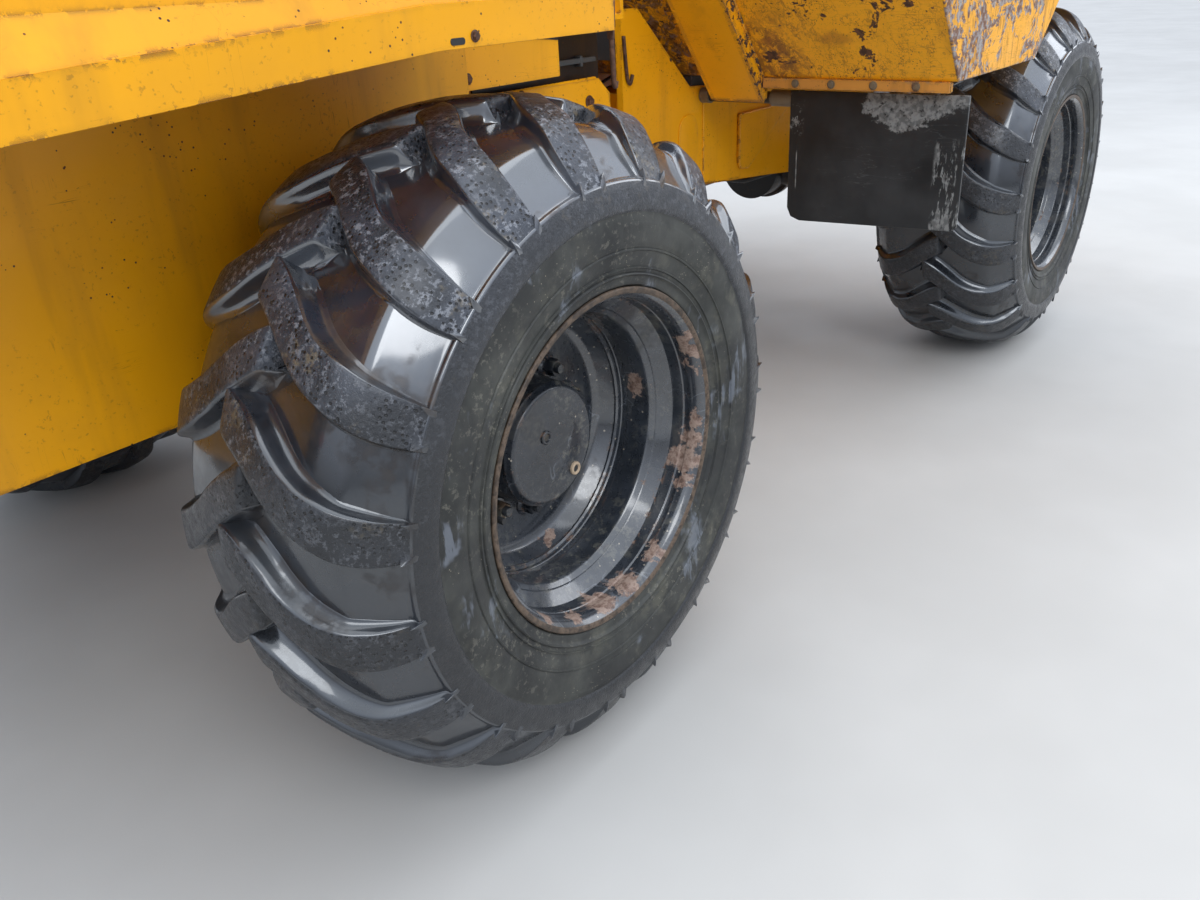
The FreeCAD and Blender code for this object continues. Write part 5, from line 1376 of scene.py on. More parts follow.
# tail lamps: tray, bezel, three lenses
acc = Acc()
for s, side in SIDE2:
    y0, y1 = span(s, 0.820, 0.960)
    acc.add(*block((-2.2470, y0, 1.290), (-2.2395, y1, 1.400), 0.004, 2), mat=0)
    for a, b, c, d in ((y0 + .001, y1 - .001, 1.291, 1.297), (y0 + .001, y1 - .001, 1.393, 1.399), (y0 + .001, y0 + .006, 1.291, 1.399), (y1 - .006, y1 - .001, 1.291, 1.399)):
        acc.add(*block((-2.2575, a, c), (-2.2460, b, d), 0.0015, 1), mat=0)
    cells = ((0.008, 0.048, 2), (0.050, 0.094, 1), (0.096, 0.132, 3))
    for a, b, mt in cells:
        ya, yb = (y0 + a, y0 + b) if s > 0 else (y1 - b, y1 - a)
        acc.add(*block((-2.2612, ya, 1.2985), (-2.2465, yb, 1.3915), 0.0045, 3), mat=mt)
        for j in range(6):
            z = 1.306 + 0.0145 * j
            acc.add(*block((-2.2620, ya + 0.004, z), (-2.2605, yb - 0.004, z + 0.0060), 0.0006, 1), mat=mt)
    for yy in (y0 + 0.0035, y1 - 0.0035):
        bolt_row(acc, [(-2.2573, yy, 1.345)], (-1, 0, 0), 0.0026, 0.003)
acc.piece("tail_lamp_units", [m_housing, m_red, m_orange, m_clear], "rear_chassis", "tail_red", sharp=40, replaces=["tail_lamps"])

# beacon: stem with clamp, base, ribbed dome over an inner lamp
bm_ = frame_to((-0.963, 0.380, 3.150), (0, 0, 1))
acc = Acc()
acc.add(*lathe([(0, -0.002), (0.030, -0.002), (0.031, 0.004), (0.017, 0.006), (0.014, 0.010), (0.014, 0.056), (0.022, 0.060), (0.056, 0.062), (0.0595, 0.066),
                (0.0595, 0.080), (0.056, 0.084), (0, 0.084)], 48, bm_), mat=0)
dome = [(0.0555, 0.083), (0.0565, 0.088), (0.0550, 0.125), (0.0520, 0.146), (0.0430, 0.160), (0.0250, 0.168), (0.0004, 0.1695)]
inner = [(0.0004, 0.163), (0.0235, 0.1615), (0.0400, 0.154), (0.0480, 0.142), (0.0510, 0.122), (0.0525, 0.088), (0.0515, 0.083)]
v, f = lathe(dome + inner, 64, bm_)
acc.add(v, f, mat=1)
for k in range(24):
    a = 2 * math.pi * k / 24
    acc.add(*tube([bm_ @ Vector((0.0567 * math.cos(a), 0.0567 * math.sin(a), 0.090)), bm_ @ Vector((0.0553 * math.cos(a), 0.0553 * math.sin(a), 0.124))], 0.0014, 6), mat=1)
acc.add(*lathe([(0, 0.084), (0.020, 0.084), (0.020, 0.092), (0.010, 0.095), (0.010, 0.120), (0.007, 0.127), (0, 0.129)], 28, bm_), mat=2)
acc.piece("beacon_unit", [m_housing, m_orange, m_steel], "rear_chassis", "beacon_amber", sharp=40, replaces=["beacon"])

# exhaust: clamps, heat shield with slots, hinged rain flap, foot bolts
ex = Vector((-1.780, -0.760, 0.0))
acc = Acc()
for z in (1.752, 1.958):
    acc.add(*lathe([(0.0745, z - 0.010), (0.0785, z - 0.009), (0.0785, z + 0.009), (0.0745, z + 0.010)], 48, Matrix.Translation(ex)), mat=0)
    acc.add(*block((ex.x + 0.074, ex.y - 0.008, z - 0.009), (ex.x + 0.094, ex.y + 0.008, z + 0.009), 0.002, 1), mat=0)
for k in range(12):
    a = 2 * math.pi * k / 12
    for z in (1.80, 1.865):
        p = Vector((ex.x + 0.0752 * math.cos(a), ex.y + 0.0752 * math.sin(a), z))
        acc.add(*block((-0.009, -0.0225, -0.0022), (0.009, 0.0225, 0.0022), 0.0018, 1, frame_to(p, (math.cos(a), math.sin(a), 0), (-math.sin(a), math.cos(a), 0))), mat=0)
for k in range(4):
    a = math.radians(45 + 90 * k)
    bolt_row(acc, [(ex.x + 0.054 * math.cos(a), ex.y + 0.054 * math.sin(a), 1.6535)], (0, 0, 1), 0.0055, 0.006)
fm = frame_to((ex.x, ex.y, 2.178), (-0.34, 0, 0.94))
acc.add(*lathe([(0, 0), (0.0405, 0), (0.0415, 0.0015), (0.0405, 0.003), (0, 0.0035)], 40, fm), mat=1)
acc.add(*tube([(ex.x - 0.010, ex.y - 0.030, 2.168), (ex.x - 0.010, ex.y + 0.030, 2.168)], 0.004, 10), mat=1)
acc.piece("exhaust_fittings", [m_exhaust, m_steel], "rear_chassis", "exhaust_steel", sharp=40)

# bumper: bolts on its top and ends, side reflectors, tie-down loops
acc = Acc()
for s in (-1, 1):
    bolt_row(acc, [(-2.262, s * y, 1.1795) for y in (0.16, 0.40)], (0, 0, 1), 0.015, 0.012)
    bolt_row(acc, [(-2.262, s * 0.6995, z) for z in (0.82, 1.10)], (0, s, 0), 0.014, 0.011)
    rm = frame_to((-2.262, s * 0.6995, 0.96), (0, s, 0))
    acc.add(*lathe([(0, -0.002), (0.036, -0.002), (0.037, 0.002), (0.033, 0.004), (0.031, 0.0035), (0, 0.0045)], 40, rm), mat=1)
    acc.add(*tube(smooth_path([(-2.292, s * 0.59, 1.174), (-2.292, s * 0.59, 1.222), (-2.232, s * 0.59, 1.222), (-2.232, s * 0.59, 1.174)], 0.016, 5), 0.009, 12), mat=2)
acc.piece("bumper_fittings", [m_bolt, m_red, m_dark], "rear_chassis", "bare_steel", sharp=40)

# left steps: toothed treads
acc = Acc()
for z, y0, y1 in ((0.533, 0.628, 0.782), (0.868, 0.628, 0.732)):
    rows = int((y1 - y0) / 0.024)
    for i in range(rows):
        for k in range(9):
            x = -0.548 + 0.0235 * k
            y = y0 + 0.012 + 0.024 * i
            acc.add(*lathe([(0, -0.0008), (0.0072, -0.0008), (0.0060, 0.0035), (0.0035, 0.0040), (0, 0.0040)], 10, Matrix.Translation((x, y, z))), mat=0)
acc.piece("step_teeth", m_dark, "rear_chassis", "dark_paint", sharp=40)

# roll bar: foot bolts, gussets, lamp brackets, weld seams
acc = Acc()
for s in (-1, 1):
    lo, hi = span(s, 0.480, 0.600) if s > 0 else span(s, 0.480, 0.600)
    for x in (-0.995 + 0.012, -0.872):
        for y in (0.497, 0.5415):
            if x > -0.9:
                bolt_row(acc, [(x, s * y, 1.2538)], (0, 0, 1), 0.0105, 0.012)
    acc.add(*slab([(-0.926, 1.252), (-0.868, 1.252), (-0.868, 1.262), (-0.914, 1.352), (-0.926, 1.352)], "XZ", s * 0.545 - 0.005, s * 0.545 + 0.005, 0.0012), mat=1)
    acc.add(*weld_bead([(-0.921, s * 0.508, 1.2560), (-0.921, s * 0.582, 1.2560)], 0.0045, seed=9), mat=1)
    # work lamp under the hoop's corner
    lm = frame_to((-0.905, s * 0.455, 3.010), (0.94, 0, -0.34))
    acc.add(*tube(smooth_path([(-0.93, s * 0.455, 3.078), (-0.93, s * 0.455, 3.045), (-0.915, s * 0.455, 3.030)], 0.008, 4), 0.006, 10), mat=1)
    acc.add(*lathe([(0, -0.045), (0.024, -0.043), (0.040, -0.026), (0.046, -0.004), (0.0475, 0.006), (0.0475, 0.013), (0.0430, 0.0145), (0.0415, 0.009), (0, 0.009)], 40, lm), mat=2)
    acc.add(*lathe([(0, 0.0085), (0.0412, 0.0085), (0.0395, 0.0128), (0.020, 0.0152), (0, 0.0158)], 40, lm), mat=3)
acc.piece("roll_bar_fittings", [m_bolt, m_dark, m_housing, m_clear], "rear_chassis", "dark_paint", sharp=40)

# hand rails: foot collars
acc = Acc()
for s in (-1, 1):
    for x in (-0.830, -0.640):
        mt = Matrix.Translation((x, s * 0.535, 1.2398))
        acc.add(*lathe([(0.0148, 0), (0.026, 0), (0.027, 0.003), (0.024, 0.008), (0.0185, 0.010), (0.0178, 0.022), (0.0150, 0.024)], 28, mt), mat=0)
    for x in (-0.853, -0.617):
        em = frame_to((x, s * 0.535, 1.760), (-1 if x < -0.7 else 1, 0, 0))
        acc.add(*lathe([(0, -0.002), (0.0182, -0.002), (0.0178, 0.003), (0.013, 0.0065), (0, 0.008)], 28, em), mat=0)
    acc.add(*tube([(-0.80, s * 0.535, 1.760), (-0.67, s * 0.535, 1.760)], 0.0205, 24), mat=1)
    for k in range(14):
        acc.add(*lathe([(0.0190, -0.0022), (0.0216, -0.0018), (0.0216, 0.0018), (0.0190, 0.0022)], 24, frame_to((-0.797 + 0.0095 * k, s * 0.535, 1.760), (1, 0, 0))), mat=1)
acc.piece("rail_fittings", [m_dark, m_plastic], "rear_chassis", "dark_paint", sharp=40)

# engine: rocker cover, filters, pulleys, fan, hoses
acc = Acc()
acc.add(*block((-1.95, -0.13, 1.478), (-1.42, 0.13, 1.560), 0.020, 3), mat=0)
for k in range(5):
    acc.add(*block((-1.93 + 0.11 * k, -0.122, 1.556), (-1.90 + 0.11 * k, 0.122, 1.566), 0.004, 1), mat=0)
    bolt_row(acc, [(-1.885 + 0.11 * k, sy, 1.5600) for sy in (-0.105, 0.105)], (0, 0, 1), 0.008, 0.009)
acc.add(*lathe([(0, -0.16), (0.078, -0.16), (0.082, -0.15), (0.082, 0.14), (0.078, 0.15), (0.060, 0.152), (0.058, 0.162), (0, 0.164)], 44,
               frame_to((-1.62, 0.235, 1.575), (1, 0, 0))), mat=1)
for z0 in (-0.11, 0.10):
    acc.add(*lathe([(0.0815, z0 - 0.008), (0.0845, z0 - 0.007), (0.0845, z0 + 0.007), (0.0815, z0 + 0.008)], 44, frame_to((-1.62, 0.235, 1.575), (1, 0, 0))), mat=2)
acc.add(*lathe([(0, 0), (0.045, 0), (0.048, 0.006), (0.048, 0.105), (0.042, 0.118), (0, 0.120)], 32, frame_to((-1.62, -0.298, 1.05), (0, -1, 0))), mat=3)
acc.add(*lathe([(0, 0), (0.040, 0), (0.042, 0.006), (0.042, 0.140), (0.036, 0.150), (0, 0.152)], 32, frame_to((-1.46, -0.298, 1.12), (0, -1, 0))), mat=2)
for (y, z, r) in ((0.0, 0.93, 0.105), (0.165, 1.18, 0.055), (-0.02, 1.24, 0.080)):
    acc.add(*lathe([(0, 0), (r, 0), (r * 1.02, 0.004), (r * 0.90, 0.012), (r * 1.02, 0.020), (r, 0.024), (r * 0.5, 0.026), (r * 0.35, 0.034), (0, 0.034)], 40,
                   frame_to((-2.058, y, z), (-1, 0, 0))), mat=2)
fanm = frame_to((-2.098, -0.02, 1.24), (-1, 0, 0))
acc.add(*lathe([(0, -0.012), (0.055, -0.012), (0.055, 0.012), (0, 0.012)], 28, fanm), mat=1)
for k in range(7):
    rot = fanm @ Matrix.Rotation(2 * math.pi * k / 7, 4, "Z") @ Matrix.Translation((0.125, 0, 0)) @ Matrix.Rotation(math.radians(28), 4, "X")
    acc.add(*slab([(-0.078, -0.030), (0.080, -0.046), (0.090, -0.020), (0.090, 0.034), (0.070, 0.046), (-0.078, 0.028)], "XY", -0.0022, 0.0022, 0.0012, 1, rot), mat=1)
acc.add(*tube(smooth_path([(-1.46, 0.235, 1.600), (-1.38, 0.20, 1.62), (-1.34, 0.05, 1.60), (-1.36, -0.05, 1.50), (-1.36, -0.07, 1.45)], 0.06, 6), 0.032, 18), mat=1)
acc.add(*tube(smooth_path([(-2.00, 0.20, 1.470), (-2.02, 0.22, 1.56), (-2.12, 0.24, 1.60), (-2.18, 0.24, 1.55)], 0.05, 6), 0.024, 16), mat=1)
# the exhaust passes below the bonnet's side, which ends at z = 1.275
acc.add(*tube(smooth_path([(-1.72, -0.296, 1.36), (-1.72, -0.40, 1.33), (-1.73, -0.50, 1.222), (-1.75, -0.68, 1.222), (-1.78, -0.76, 1.33), (-1.78, -0.76, 1.63)], 0.06, 6), 0.034, 18), mat=4)
acc.piece("engine_fittings", [m_engine, m_plastic, m_dark, m_clean, m_exhaust], "rear_chassis", "engine_grey", sharp=40)


# ------------------------------------------------------------ driver's controls
acc = Acc()
gm = (-0.447, 0, 0.894)
for k, (x, y, r) in enumerate(((-0.437, 0.072, 0.027), (-0.437, -0.072, 0.027), (-0.428, 0.000, 0.0))):
    if r:
        mt = frame_to((x, y, 1.7165), gm)
        acc.add(*lathe([(0, -0.002), (r, -0.002), (r + 0.003, 0.001), (r + 0.003, 0.006), (r - 0.001, 0.0075), (r - 0.003, 0.0045), (0, 0.0045)], 32, mt), mat=0)
        acc.add(*lathe([(0, 0.0044), (r - 0.003, 0.0044), (r - 0.003, 0.0060), (0, 0.0063)], 32, mt), mat=1)
        acc.add(*block((-0.001, -0.002, 0.0062), (0.001, r - 0.008, 0.0074), 0.0004, 1, mt @ Matrix.Rotation(0.7 + k, 4, "Z")), mat=2)
for k in range(4):
    mt = frame_to((-0.413 - 0.0 * k, -0.033 + 0.022 * k, 1.7285), gm)
    acc.add(*block((-0.007, -0.007, -0.002), (0.007, 0.007, 0.005), 0.0018, 2, mt), mat=0)
    acc.add(*block((-0.005, -0.005, 0.004), (0.005, 0.005, 0.0085), 0.0016, 2, mt @ Matrix.Rotation(0.25, 4, "Y")), mat=3)
# gaiter between the dash and the wheel's shaft
sm = frame_to((-0.4288, 0, 1.7538), (-0.4226, 0, 0.9063))
prof = [(0.0165, 0.010), (0.024, 0.008), (0.024, 0.002)]
for k in range(6):
    prof += [(0.026 + 0.003 * k, -0.001 - 0.006 * k), (0.0225 + 0.003 * k, -0.004 - 0.006 * k)]
prof += [(0.046, -0.040), (0.0165, -0.040)]
acc.add(*lathe(prof, 32, sm), mat=0)
# key, hour meter housing and a grab lip on the column's side
acc.add(*lathe([(0, -0.002), (0.011, -0.002), (0.011, 0.005), (0.008, 0.006), (0, 0.006)], 20, frame_to((-0.395, -0.110, 1.66), (0, -1, 0))), mat=2)
acc.add(*block((-0.398, -0.128, 1.646), (-0.392, -0.1155, 1.674), 0.002, 1), mat=2)
acc.piece("dash_controls", [m_housing, m_clear, m_red, m_plastic], "rear_chassis", "dark_plastic", sharp=40)

acc = Acc()
for x, top in ((-0.620, 1.760), (-0.690, 1.740)):
    mt = Matrix.Translation((x, -0.295, 1.5985))
    prof = [(0.0085, 0.064), (0.0125, 0.063)]
    for k in range(5):
        prof += [(0.0150 + 0.0042 * k, 0.058 - 0.0105 * k), (0.0120 + 0.0042 * k, 0.0535 - 0.0105 * k)]
    prof += [(0.0345, 0.004), (0.0345, 0.0), (0.0085, 0.0)]
    acc.add(*lathe(prof, 28, mt), mat=0)
    km = Matrix.Translation((x, -0.295, top - 0.032))
    acc.add(*lathe([(0, -0.001), (0.0150, 0), (0.0185, 0.006), (0.0225, 0.022), (0.0235, 0.034), (0.0200, 0.046), (0.0120, 0.053), (0, 0.055)], 28, km), mat=1)
for y in (-0.330, -0.260):
    bolt_row(acc, [(-0.748, y, 1.5995), (-0.572, y, 1.5995)], (0, 0, 1), 0.006, 0.005)
acc.piece("lever_boots_knobs", [m_plastic, m_housing], "rear_chassis", "dark_plastic", sharp=40)

# wheel: horn button, hub ring and spinner knob
hub_m = frame_to((-0.455, 0, 1.810), (-0.42262, 0, 0.90631), (0, 1, 0))
acc = Acc()
acc.add(*lathe([(0, 0.006), (0.036, 0.006), (0.040, 0.010), (0.038, 0.016), (0.026, 0.0185), (0.024, 0.016), (0, 0.0185)], 40, hub_m), mat=0)
k2 = hub_m @ Matrix.Rotation(math.radians(40), 4, "Z") @ Matrix.Translation((0.178, 0, 0.0))
acc.add(*lathe([(0, 0.010), (0.0105, 0.010), (0.0105, 0.022), (0.020, 0.026), (0.024, 0.038), (0.023, 0.050), (0.014, 0.058), (0, 0.060)], 28, k2), mat=0)
acc.add(*block((-0.018, -0.012, -0.017), (0.018, 0.012, 0.017), 0.006, 2, k2), mat=1)
for i in range(36):
    a = 2 * math.pi * i / 36
    if abs(math.degrees(a) - 40) < 9:
        continue
    gm2 = hub_m @ Matrix.Rotation(a, 4, "Z") @ Matrix.Translation((0.178, 0, -0.0135))
    acc.add(*block((-0.004, -0.0055, -0.0016), (0.004, 0.0055, 0.0016), 0.0014, 1, gm2), mat=0)
acc.piece("wheel_knob_grips", [m_plastic, m_dark], "steering_wheel", "dark_plastic", sharp=40)

# seat: bellows round the slide, belt anchors, buckle and reel, slide handle
acc = Acc()
for k in range(6):
    z = 1.478 + 0.0122 * k
    acc.add(*slab([(-0.962, -0.173), (-0.518, -0.173), (-0.518, 0.173), (-0.962, 0.173)], "XY", z, z + 0.0072, 0.0032, 2), mat=0)
acc.add(*tube(smooth_path([(-0.60, 0.16, 1.470), (-0.50, 0.16, 1.470), (-0.475, 0.16, 1.478), (-0.475, -0.16, 1.478), (-0.50, -0.16, 1.470), (-0.60, -0.16, 1.470)], 0.014, 5), 0.006, 12), mat=1)
for s in (-1, 1):
    acc.add(*slab([(-0.948, 1.500), (-0.905, 1.500), (-0.900, 1.535), (-0.912, 1.548), (-0.940, 1.548)], "XZ", s * 0.206 - 0.005, s * 0.206 + 0.005, 0.001), mat=1)
    bolt_row(acc, [(-0.925, s * 0.210, 1.525)], (0, s, 0), 0.011, 0.009)
acc.add(*block((-0.958, 0.214, 1.560), (-0.885, 0.262, 1.640), 0.008, 2), mat=0)
acc.add(*slab([(-0.935, 1.636), (-0.895, 1.636), (-0.880, 1.735), (-0.920, 1.735)], "XZ", 0.2365, 0.2382, 0.0005, 1), mat=2)
acc.add(*block((-0.922, -0.256, 1.560), (-0.888, -0.240, 1.652), 0.004, 2, Matrix.Identity(4)), mat=0)
acc.add(*block((-0.921, -0.259, 1.652), (-0.889, -0.237, 1.700), 0.005, 2), mat=0)
acc.add(*block((-0.914, -0.2575, 1.6985), (-0.896, -0.2385, 1.7040), 0.002, 1), mat=3)
acc.piece("seat_fittings", [m_plastic, m_bolt, m_stitch, m_red], "rear_chassis", "dark_plastic", sharp=40)

# ----------------------------------------------------------------- front frame
acc = Acc()
for s, side in SIDE2:
    lo, hi = span(s, 0.3595, 0.3640)
    acc.add(*slab(round_rect(0.226, 0.329, 0.775, 0.931, 0.050), "XZ", lo, hi, 0.0035, 3), mat=0)
    acc.add(*weld_bead([(0.363, s * 0.3605, 0.990), (0.363, s * 0.3605, 0.722)], 0.0036, seed=4), mat=0)
    lo, hi = span(s, 0.3595, 0.3725)
    acc.add(*slab([(0.567, 0.898), (0.567, 0.742), (0.580, 0.722), (0.628, 0.716), (0.720, 0.768), (0.800, 0.826), (0.905, 0.884), (0.926, 0.898)], "XZ", lo, hi, 0.006, 3), mat=0)
    acc.add(*tube(smooth_path([(-0.040, s * 0.3655, 1.172), (-0.034, s * 0.3655, 1.105), (-0.028, s * 0.3655, 1.058), (-0.016, s * 0.3655, 1.046),
                               (-0.004, s * 0.3655, 1.071)], 0.014, 5), 0.0050, 12), mat=1)
    lo, hi = span(s, 0.300, 0.352)
    acc.add(*block((0.312, lo, 0.998), (0.390, hi, 1.0375), 0.004, 2), mat=2)
    # flap bar: dusty sleeve, clamps
    bar_y(acc, 0.3592, 0.978, s, 0.602, 0.700, 0.0235, 3, 24)
    bar_y(acc, 0.3592, 0.978, s, 0.362, 0.392, 0.0225, 3, 24)
    for y in (0.74, 0.95, 1.11):
        acc.add(*lathe([(0.0168, -0.013), (0.0205, -0.013), (0.0205, 0.013), (0.0168, 0.013)], 24, frame_to((0.3592, s * y, 0.978), (0, 1, 0))), mat=2)
    bolt_row(acc, [(1.25, s * 0.360, 0.93), (1.34, s * 0.360, 0.93)], (0, s, 0), 0.012, 0.010)
# guard under the front shaft
acc.add(*slab([(0.425, 0.712), (0.600, 0.672), (0.700, 0.6505), (0.950, 0.6465), (0.950, 0.660), (0.700, 0.664), (0.425, 0.726)], "XZ", -0.318, 0.318, 0.002), mat=2)
# dark wall between the cheeks, behind the hitch
acc.add(*block((-0.0445, -0.338, 1.111), (-0.0385, 0.338, 1.222), 0.002, 1), mat=2)
# head lamps: bezel and lens on each housing
for s, side in SIDE2:
    lm = frame_to((1.6995, s * 0.515, 0.835), (1, 0, 0))
    acc.add(*lathe([(0.046, 0), (0.060, 0), (0.0615, 0.004), (0.0600, 0.010), (0.0540, 0.0125), (0.0500, 0.009), (0.046, 0.006)], 48, lm), mat=4)
    acc.add(*lathe([(0, 0.0005), (0.0505, 0.0005), (0.0505, 0.006), (0.040, 0.0095), (0.020, 0.0115), (0, 0.0120)], 48, lm), mat=5)
    for k in range(4):
        a = math.radians(45 + 90 * k)
        p = lm @ Vector((0.066 * math.cos(a), 0.058 * math.sin(a), 0.0))
        bolt_row(acc, [tuple(p)], (1, 0, 0), 0.0045, 0.004, washer=False)
    bolt_row(acc, [(1.615, s * 0.455, 0.8995), (1.640, s * 0.40, 0.8495)], (0, 0, 1), 0.009, 0.008)
acc.piece("front_frame_fittings", [m_body, m_rust, m_dark, m_dusty, m_housing, m_clear], "front_chassis", "body_paint", sharp=40)

# skip: strip facing with its bolts, weld seams along the ribs and cheeks
acc = Acc()
wall_line = [(0.304, 1.039), (0.115, 1.2724), (-0.075, 1.507)]
for s, side in SIDE2:
    lo, hi = span(s, 0.602, 1.138)
    acc.add(*slab([(0.2965, 1.0115), (0.3005, 1.0115), (0.3005, 1.0375), (0.2965, 1.0375)], "XZ", lo, hi, 0.0008, 1), mat=1)
    o = len(acc.m)
    bolt_row(acc, [(0.2966, s * y, 1.0255) for y in (0.704, 0.812, 0.933, 1.050)], (-1, 0, 0), 0.0085, 0.0065)
    acc.m[o:] = [2] * (len(acc.m) - o)
    for y in (0.4235, 0.6015):
        acc.add(*weld_bead([(x - 0.003, s * y, z - 0.002) for x, z in wall_line], 0.0042, seed=11), mat=0)
        acc.add(*weld_bead([(-0.0775, s * y, 1.510), (-0.0775, s * y, 1.800)], 0.0042, seed=12), mat=0)
    acc.add(*weld_bead([(0.318, s * 0.430, 0.9735), (0.318, s * 0.595, 0.9735)], 0.0052, seed=13), mat=0)
    for y in (0.2985, 0.3295):
        acc.add(*weld_bead([(1.452, s * y, 1.3345), (1.688, s * y, 1.3920)], 0.0045, seed=15), mat=0)
    acc.add(*weld_bead([(1.195, s * 1.1615, 1.276), (1.560, s * 1.1615, 1.3645), (1.925, s * 1.1615, 1.4525), (2.235, s * 1.1615, 1.5285)], 0.0034, seed=17), mat=0)
acc.piece("skip_welds_bolts", [m_ribs_brightened, m_strip, m_dusty], "skip", "body_paint", sharp=40)

# axles: case flange with bolts, cover, brake lines, drum bolts
def axle_trim(name, ax, case, body, face):
    acc = Acc()
    cm = frame_to((ax, 0, 0.585), (face, 0, 0))
    acc.add(*lathe([(case - 0.004, -0.016), (case + 0.014, -0.016), (case + 0.014, -0.002), (case + 0.012, 0.0), (case + 0.014, 0.002), (case + 0.014, 0.014), (case - 0.004, 0.014)], 56, cm), mat=0)
    for k in range(14):
        a = 2 * math.pi * k / 14
        p = cm @ Vector(((case + 0.004) * math.cos(a), (case + 0.004) * math.sin(a), 0.0138))
        bolt_row(acc, [tuple(p)], (face, 0, 0), 0.0075, 0.008, washer=False)
    end = frame_to((ax + face * 0.1295, 0, 0.585), (face, 0, 0))
    acc.add(*lathe([(0, -0.002), (case * 0.82, -0.002), (case * 0.84, 0.004), (case * 0.78, 0.014), (case * 0.55, 0.030), (case * 0.3, 0.040), (0, 0.043)], 48, end), mat=0)
    acc.add(*lathe([(0, 0), (0.014, 0), (0.014, 0.010), (0.010, 0.013), (0, 0.013)], 6, frame_to((ax + face * 0.160, 0.04, 0.530), (face, 0, -0.25))), mat=1)
    for s in (-1, 1):
        dm = frame_to((ax, s * 0.6205, 0.585), (0, -s, 0))
        acc.add(*lathe([(0.086, -0.001), (0.142, -0.001), (0.145, 0.004), (0.140, 0.010), (0.090, 0.012)], 48, dm), mat=0)
        for k in range(12):
            a = 2 * math.pi * k / 12
            p = dm @ Vector((0.120 * math.cos(a), 0.120 * math.sin(a), 0.0095))
            bolt_row(acc, [tuple(p)], (0, -s, 0), 0.0085, 0.009)
        acc.add(*tube(smooth_path([(ax - face * 0.05, s * 0.19, 0.670), (ax - face * 0.07, s * 0.30, 0.648), (ax - face * 0.072, s * 0.56, 0.640),
                                   (ax - face * 0.080, s * 0.60, 0.690), (ax - face * 0.075, s * 0.66, 0.715)], 0.03, 5), 0.0045, 8), mat=1)
        for y in (0.36, 0.56):
            for dx in (-0.09, 0.09):
                acc.add(*tube([(ax + dx, s * y, 0.485), (ax + dx, s * y, 0.640)], 0.0095, 10), mat=1)
                bolt_row(acc, [(ax + dx, s * y, 0.497)], (0, 0, -1), 0.016, 0.016)
        acc.add(*block((ax - 0.115, s * 0.46 - 0.125, 0.492), (ax + 0.115, s * 0.46 + 0.125, 0.508), 0.004, 2), mat=0)
    acc.piece(name, [m_axle, m_bolt], body, "axle_black", sharp=40)


axle_trim("rear_axle_fittings", -1.175, 0.175, "rear_chassis", -1)
axle_trim("front_axle_fittings", 1.413, 0.125, "front_chassis", 1)


# rams: gland nut, ports and a hard pipe on each barrel
def ram_trim(name, foot, eye, length, r, rod_r, out):
    foot, eye = Vector(foot), Vector(eye)
    u = (eye - foot).normalized()
    mt = frame_to(foot, u, (0, 0, 1))
    acc = Acc()
    acc.add(*lathe([(rod_r + 0.0012, length - 0.001), (r * 0.86, length - 0.001), (r * 0.90, length + 0.004), (r * 0.84, length + 0.011), (rod_r + 0.004, length + 0.013),
                    (rod_r + 0.0012, length + 0.010)], 36, mt), mat=0)
    for k in range(6):
        a = 2 * math.pi * (k + 0.5) / 6
        p = foot + u * (length + 0.009) + (mt.to_3x3() @ Vector((r * 0.74 * math.cos(a), r * 0.74 * math.sin(a), 0)))
        bolt_row(acc, [tuple(p)], tuple(u), r * 0.11, 0.005, washer=False)
    side = (mt.to_3x3() @ Vector((1, 0, 0)))
    if side.z < 0:
        side = -side
    ends = []
    for d in (0.105, length - 0.085):
        b = foot + u * d + side * (r - 0.004)
        acc.add(*lathe([(0, 0), (0.019, 0), (0.021, 0.003), (0.016, 0.010), (0.012, 0.012), (0.012, 0.024), (0, 0.025)], 24, frame_to(b, side)), mat=1)
        ends.append(b + side * 0.021)
    a, b = ends
    acc.add(*tube(smooth_path([b, b + side * 0.014, b + side * 0.016 - u * 0.03, a + side * 0.016 + u * 0.03, a + side * 0.014 + u * 0.004, a], 0.01, 4), 0.0055, 10), mat=0)
    mid = (a + b) / 2
    for d in (-0.11, 0.11):
        acc.add(*lathe([(r - 0.001, -0.008), (r + 0.0035, -0.008), (r + 0.0035, 0.008), (r - 0.001, 0.008)], 36, frame_to(foot + u * (length / 2 + d), u)), mat=0)
    acc.piece(name + "_pipes", [m_dark, m_steel], out, "dark_paint", sharp=40)


for s, side in SIDE2:
    ram_trim(side + "_steer", (-0.700, s * 0.230, 0.860), (0.038, s * 0.230, 0.860), 0.430, 0.035, 0.020, side + "_steer_barrel")
    ram_trim(side + "_tip", (0.250, s * 0.205, 0.800), (0.975, s * 0.205, 0.990), 0.640, 0.050, 0.025, side + "_tip_barrel")

# tow jaw: drop pin with its ring
acc = Acc()
tm = Matrix.Translation((-2.280, 0, 0))
acc.add(*lathe([(0, 0.545), (0.010, 0.548), (0.0142, 0.556), (0.0142, 0.6805), (0.026, 0.6815), (0.027, 0.692), (0.024, 0.697), (0.008, 0.698), (0.008, 0.712), (0, 0.713)], 28, tm), mat=0)
acc.add(*tube([(-2.280, 0.018 * math.cos(math.pi * k / 10 - 0.2), 0.718 + 0.018 * math.sin(math.pi * k / 10 - 0.2)) for k in range(13)], 0.004, 8), mat=1)
for y in (-0.058, 0.058):
    acc.add(*weld_bead([(-2.240, y, 0.5545), (-2.168, y, 0.5545)], 0.004), mat=1)
acc.piece("tow_pin", [m_steel, m_dark], "rear_chassis", "bare_steel", sharp=40)

